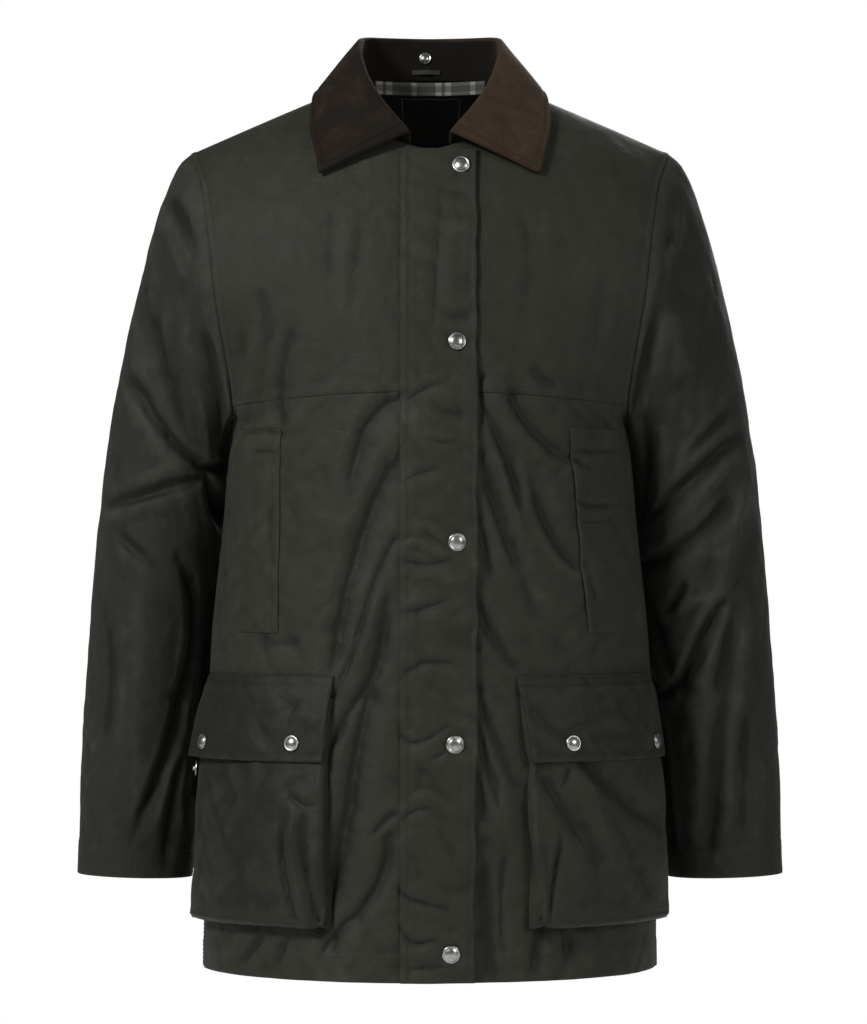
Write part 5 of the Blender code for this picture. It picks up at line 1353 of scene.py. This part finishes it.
def lining_check(name):
    """Dark grey blocks between pale bars, every other one double, as in a common check."""
    check = Finish(name, {"Roughness": 0.9})
    place = check.split()

    def stripe(axis, repeat, middle, width):
        shifted = check.work("ADD", place[axis], 10.24 - middle * MM)  # whole repeats on, so never below 0
        saw = check.work("PINGPONG", shifted, repeat * MM / 2)
        return check.work("LESS_THAN", saw, width * MM / 2)

    bars = check.work("MAXIMUM", stripe("X", 51.2, 7.4, 5.2), stripe("X", 51.2, 15.8, 5.2))
    bars = check.work("MAXIMUM", bars, stripe("X", 51.2, 37.2, 4.4))
    rows = check.work("SUBTRACT", 1.0, stripe("Y", 25.6, 5.8, 5.4))
    pale = check.work("MULTIPLY", bars, check.total(0.36, (rows, 0.44)))
    pale = check.total(pale, (rows, 0.20), (stripe("Y", 25.6, 5.8, 0.9), -0.06))
    check.mix(pale, (0.042, 0.045, 0.039), (0.23, 0.23, 0.215))
    check.relief(check.threads(0.0006, "DIAGONAL"), 0.4, 0.0002)
    return check.material


woven = Finish("label_cloth", {"Roughness": 0.75})
place = woven.split()
inside = [woven.work("SUBTRACT", half, woven.work("ABSOLUTE", woven.work("SUBTRACT", place[axis], middle)))
          for axis, half, middle in (("X", 0.0258, 0.0008), ("Y", 0.0126, 0.0112))]
border = woven.work("COMPARE", woven.work("MINIMUM", *inside), 0.0)
border.node.inputs[2].default_value = 0.0004
woven.mix(border, (0.0075, 0.0075, 0.007), (0.17, 0.15, 0.125))
woven.relief(woven.threads(0.0005, "Y"), 0.3, 0.00015)
shown, hidden, uv = inside_patch(-34.5, 36, 0.37, 1.12, 1.8, 0.4, 0.8)
label = wall("label_patch_cloth", shown, hidden, uv, woven.material)
dressed(label, ["label_patch"])


def spot_on(grid, x, z):
    """(point, normal) at which a grid of points passes x and z in the front view, on its nearest part."""
    normals = grid_normals(grid)
    off = np.hypot(grid[..., 0] - x, grid[..., 2] - z) + 1000 * (normals[..., 1] > 0)
    i, j = np.unravel_index(off.argmin(), off.shape)
    i, j = min(max(i, 1), grid.shape[0] - 2), min(max(j, 1), grid.shape[1] - 2)
    along, up = (grid[i, j + 1] - grid[i, j - 1]) / 2, (grid[i + 1, j] - grid[i - 1, j]) / 2
    step = np.linalg.lstsq(np.array([[along[0], up[0]], [along[2], up[2]]]),
                           np.array([x - grid[i, j, 0], z - grid[i, j, 2]]), rcond=None)[0]
    return grid[i, j] + along * step[0] + up * step[1], normals[i, j]


centre_back = stand_outer[:, len(spaced) // 2 - 90 : len(spaced) // 2 + 90]
STRIP_TOP, STRIP_FOOT = 4.4, -6.9
lined = inside_patch(-50, 50, 0.03, 1.12, 1.8, 0.4, 0)[1].transpose(1, 0, 2)
foot, head = [], []
for column in lined:
    x, front = column[0, 0], column[column[:, 2] > STRIP_FOOT, 1].min()
    front = min(front, spot_on(centre_back, x, STRIP_TOP)[0][1]) - 0.4
    foot.append((x, front, STRIP_FOOT))
    head.append((x, front, STRIP_TOP))
foot, head = np.array(foot), np.array(head)
up = edge_steps(float(np.linalg.norm(head - foot, axis=1).mean()), 1.4)
hidden = foot + (head - foot) * (up / up[-1])[:, None, None]
full = rolled_ends(up)[:, None, None]
shown = hidden + grid_normals(hidden) * (1.0 - 0.5 * (1 - full))
uv = np.stack(np.meshgrid(hidden[0, :, 0], up), -1)
strip = wall("back_neck_lining_cloth", shown, hidden, uv, lining_check("check_lining"))
dressed(strip, ["back_neck_lining"])

LOOP_ENDS, LOOP_FOOT, LOOP_TOP, LOOP_STANDS_OFF = (-15.5, 9.0), 10.6, 14.8, 2.0
across = edge_steps(LOOP_ENDS[1] - LOOP_ENDS[0], 1.5, rim=(0, 0.3, 0.8))
up = edge_steps(LOOP_TOP - LOOP_FOOT, 1.0, rim=(0, 0.3, 0.8))
share = across / across[-1]
stands = LIFT + LOOP_STANDS_OFF * np.sin(np.pi * share) ** 2
spots = [[spot_on(centre_back, LOOP_ENDS[0] + a, LOOP_FOOT + h) for a in across] for h in up]
base = np.array([[point + normal * s for (point, normal), s in zip(row, stands)] for row in spots])
facing = grid_normals(base)
full = rolled_ends(up)[:, None] * rolled_ends(across)
grey_tape = Finish("loop_tape", {"Roughness": 0.8})
ribs = grey_tape.threads(0.0011, "X", 0.6)
grey_tape.tint(ribs, ((0.2, (0.008, 0.008, 0.007)), (0.8, (0.026, 0.025, 0.022))))
grey_tape.relief(ribs, 0.5, 0.0002)
loop = wall("hanger_loop_cloth", base + facing * (1.0 - 0.5 * (1 - full))[..., None], base,
            np.stack(np.meshgrid(across, up), -1), grey_tape.material)
dressed(loop, ["hanger_loop"])

# ================================================================ snap fasteners
# Brushed steel caps, turned with a low dome inside a rolled rim: five down the storm flap, two on each
# pocket flap, and a smaller one on the stand for a hood. A stud shows at the side of the right pocket.
CAP = ((0, 2.9), (1.5, 2.8), (3.0, 2.45), (4.2, 1.9), (4.7, 1.45), (5.0, 1.3), (5.35, 1.5),
       (5.9, 1.65), (6.45, 1.3), (6.7, 0.75), (6.5, 0.15), (6.0, 0), (0, 0))
BIG_CAP, SMALL_CAP = ([(radius * size, height) for radius, height in CAP] for size in (1.13, 0.8))
STUD = ((0, 3.2), (1.2, 3.15), (1.8, 2.9), (2.0, 2.4), (1.8, 1.6), (2.1, 1.15), (6.2, 1.0),
        (6.7, 0.7), (6.8, 0.1), (6.6, 0), (0, 0))

steel = Finish("brushed_steel", {"Metallic": 1.0})
scratches, smears = steel.noise(900.0, 4.0, 0.7, 1.5), steel.noise(260.0, 3.0, 0.6)
steel.tint(smears, ((0.3, (0.36, 0.355, 0.34)), (0.7, (0.56, 0.555, 0.53))))
steel.link(steel.total(0.22, (smears, 0.2)), steel.shader["Roughness"])
steel.relief(scratches, 0.25, 0.0001)


def turned(name, profile, sides=32):
    """A mesh turned round Z from a profile of (radius, height), closed at both ends."""
    rings = profile[1:-1]
    points = [(0, 0, profile[0][1] * MM)]
    turns = [2 * math.pi * k / sides for k in range(sides)]
    points += [(r * MM * math.cos(t), r * MM * math.sin(t), h * MM) for r, h in rings for t in turns]
    points.append((0, 0, profile[-1][1] * MM))
    faces = [(0, 1 + k, 1 + (k + 1) % sides) for k in range(sides)]
    for ring in range(len(rings) - 1):
        a, b = 1 + ring * sides, 1 + (ring + 1) * sides
        faces += [(a + k, b + k, b + (k + 1) % sides, a + (k + 1) % sides) for k in range(sides)]
    last = 1 + (len(rings) - 1) * sides
    faces += [(len(points) - 1, last + (k + 1) % sides, last + k) for k in range(sides)]
    mesh = bpy.data.meshes.new(name)
    mesh.from_pydata(points, [], faces)
    mesh.shade_smooth()
    mesh.set_sharp_from_angle(angle=math.radians(50))
    return placed(name, mesh)


fasteners = Pattern("fasteners", {"Fastener": "Object", "Metal": "Material"})
shape = fasteners.add("GeometryNodeObjectInfo", {"Object": fasteners.given["Fastener"]})
aligned = fasteners.add("FunctionNodeAlignRotationToVector", {
    "Vector": fasteners.carried("faces_to", "FLOAT_VECTOR")}, axis="Z")
pressed_on = fasteners.add("GeometryNodeInstanceOnPoints", {
    "Points": fasteners.given["Geometry"], "Instance": shape.outputs["Geometry"],
    "Rotation": aligned.outputs[0]})
fasteners.end(pressed_on.outputs[0], fasteners.given["Metal"])


def set_on(name, template, places, nodes):
    """Copies of a turned fastener at places, (point, direction) in mm, in place of their CAD nodes."""
    mesh = bpy.data.meshes.new(name)
    mesh.from_pydata([tuple(point * MM) for point, _ in places], [], [])
    carry(mesh, "faces_to", [direction for _, direction in places])
    piece = fasteners.run(placed(name, mesh), {"Fastener": template, "Metal": steel.material})
    dressed(piece, nodes)


def seat(grid, x, z, above=0.15):
    """(point, direction) for a fastener a little above a skin."""
    point, normal = spot_on(grid, x, z)
    return point + normal * above, normal


big_cap, cap, small_cap, stud = (turned(*made) for made in (
    ("big_cap", BIG_CAP), ("cap", CAP), ("small_cap", SMALL_CAP), ("stud", STUD)))
set_on("front_snaps", big_cap, [seat(storm_outer, *place, 0.5) for place in SNAP_PULLS],
       [f"front_snap_{number}" for number in range(1, 6)])
FLAP_SNAPS = {-1: ((-113.5, -555), (-190, -557)), 1: ((117.8, -555), (190, -557))}
on_flaps = [seat(flap_faces[side], *place) for side in (-1, 1) for place in FLAP_SNAPS[side]]
set_on("pocket_snaps", cap, on_flaps,
       [f"{word}_pocket_{place}_snap" for word in ("right", "left") for place in ("inner", "outer")])
set_on("hood_snap_cap", small_cap, [seat(centre_back, -4.3, 25.4, 0.4)], ["hood_snap"])
set_on("pocket_stud", stud, [seat(right_bag_face, -196.2, -582, 1.6)], ["right_pocket_stud"])
for template in (big_cap, cap, small_cap, stud):
    bpy.data.objects.remove(template)

# ================================================================ stitching
# Lock stitches in olive thread, about seven to the inch, along every seam and turned edge.
thread = Finish("olive_thread", {"Roughness": 0.6})
thread.tint(thread.noise(1500.0, 2.0), ((0.3, (0.007, 0.007, 0.005)), (0.7, (0.016, 0.016, 0.012))))

seams = Pattern("lock_stitches", {
    "Pitch": "Float", "Stitch length": "Float", "Thread thickness": "Float", "Thread": "Material"})
lines = seams.add("GeometryNodeMeshToCurve", {0: seams.given["Geometry"]})
spaced_out = seams.add("GeometryNodeCurveToPoints", {
    "Curve": lines.outputs[0], "Length": seams.given["Pitch"]}, mode="LENGTH")
stitch = seams.add("GeometryNodeMeshUVSphere", {"Segments": 4, "Rings": 3, "Radius": 0.5})
thickness = seams.given["Thread thickness"]
size = seams.add("ShaderNodeCombineXYZ", {"X": thickness, "Y": thickness, "Z": seams.given["Stitch length"]})
sewn = seams.add("GeometryNodeInstanceOnPoints", {
    "Points": spaced_out.outputs["Points"], "Instance": stitch.outputs["Mesh"],
    "Rotation": spaced_out.outputs["Rotation"], "Scale": size.outputs[0]})
seams.end(sewn.outputs[0], seams.given["Thread"])

for group, runs in stitch_runs.items():
    points, edges = [], []
    for run in runs:
        edges += [(len(points) + k, len(points) + k + 1) for k in range(len(run) - 1)]
        points += (run * MM).tolist()
    mesh = bpy.data.meshes.new(f"{group}_stitching")
    mesh.from_pydata(points, edges, [])
    piece = seams.run(placed(f"{group}_stitching", mesh), {
        "Pitch": 3.5 * MM, "Stitch length": 2.6 * MM, "Thread thickness": 0.62 * MM,
        "Thread": thread.material})
    piece.data.shade_smooth()
    dressed(piece, [])

# ================================================================ floor and light
# A pale floor well below the hem, a white surround, a broad soft key light, a fill and a back light.
FLOOR_SIDES, FLOOR_REACH, FLOOR_Z = 96, 2.6, -1.25
floor_mesh = bpy.data.meshes.new("floor")
floor_mesh.from_pydata([
    (FLOOR_REACH * math.cos(turn), FLOOR_REACH * math.sin(turn), FLOOR_Z)
    for turn in (2 * math.pi * side / FLOOR_SIDES for side in range(FLOOR_SIDES))
], [], [tuple(range(FLOOR_SIDES))])
pale = Finish("pale_floor", {"Base Color": (0.86, 0.86, 0.86, 1), "Roughness": 0.9})
floor_mesh.materials.append(pale.material)
placed("floor", floor_mesh)

world = bpy.data.worlds.new("studio")
scene.world = world
world.use_nodes = True
nodes, link = world.node_tree.nodes, world.node_tree.links.new
nodes.clear()
seen, mixed, surround = (nodes.new(kind) for kind in (
    "ShaderNodeLightPath", "ShaderNodeMixShader", "ShaderNodeOutputWorld"))
link(seen.outputs["Is Camera Ray"], mixed.inputs[0])
for socket, strength in ((1, 0.12), (2, 1.0)):  # what falls on the jacket, and what is seen behind it
    white = nodes.new("ShaderNodeBackground")
    white.inputs["Color"].default_value, white.inputs["Strength"].default_value = (1, 1, 1, 1), strength
    link(white.outputs[0], mixed.inputs[socket])
link(mixed.outputs[0], surround.inputs["Surface"])
scene.view_settings.view_transform = "Standard"


def soft_light(name, place, size, watts):
    """A rectangle of light that faces the middle of the jacket."""
    light = bpy.data.lights.new(name, "AREA")
    light.shape, light.size, light.size_y, light.energy = "RECTANGLE", *size, watts
    made = placed(name, light)
    made.location = place
    made.rotation_euler = (Vector((0, 0, -0.35)) - Vector(place)).to_track_quat("-Z", "Y").to_euler()


soft_light("key_light", (-2.35, -2.35, 1.6), (0.8, 0.8), 112)
soft_light("fill_light", (2.6, -2.2, 0.8), (0.9, 1.2), 34)
soft_light("back_light", (0.8, 2.6, 0.9), (1.4, 1.4), 60)
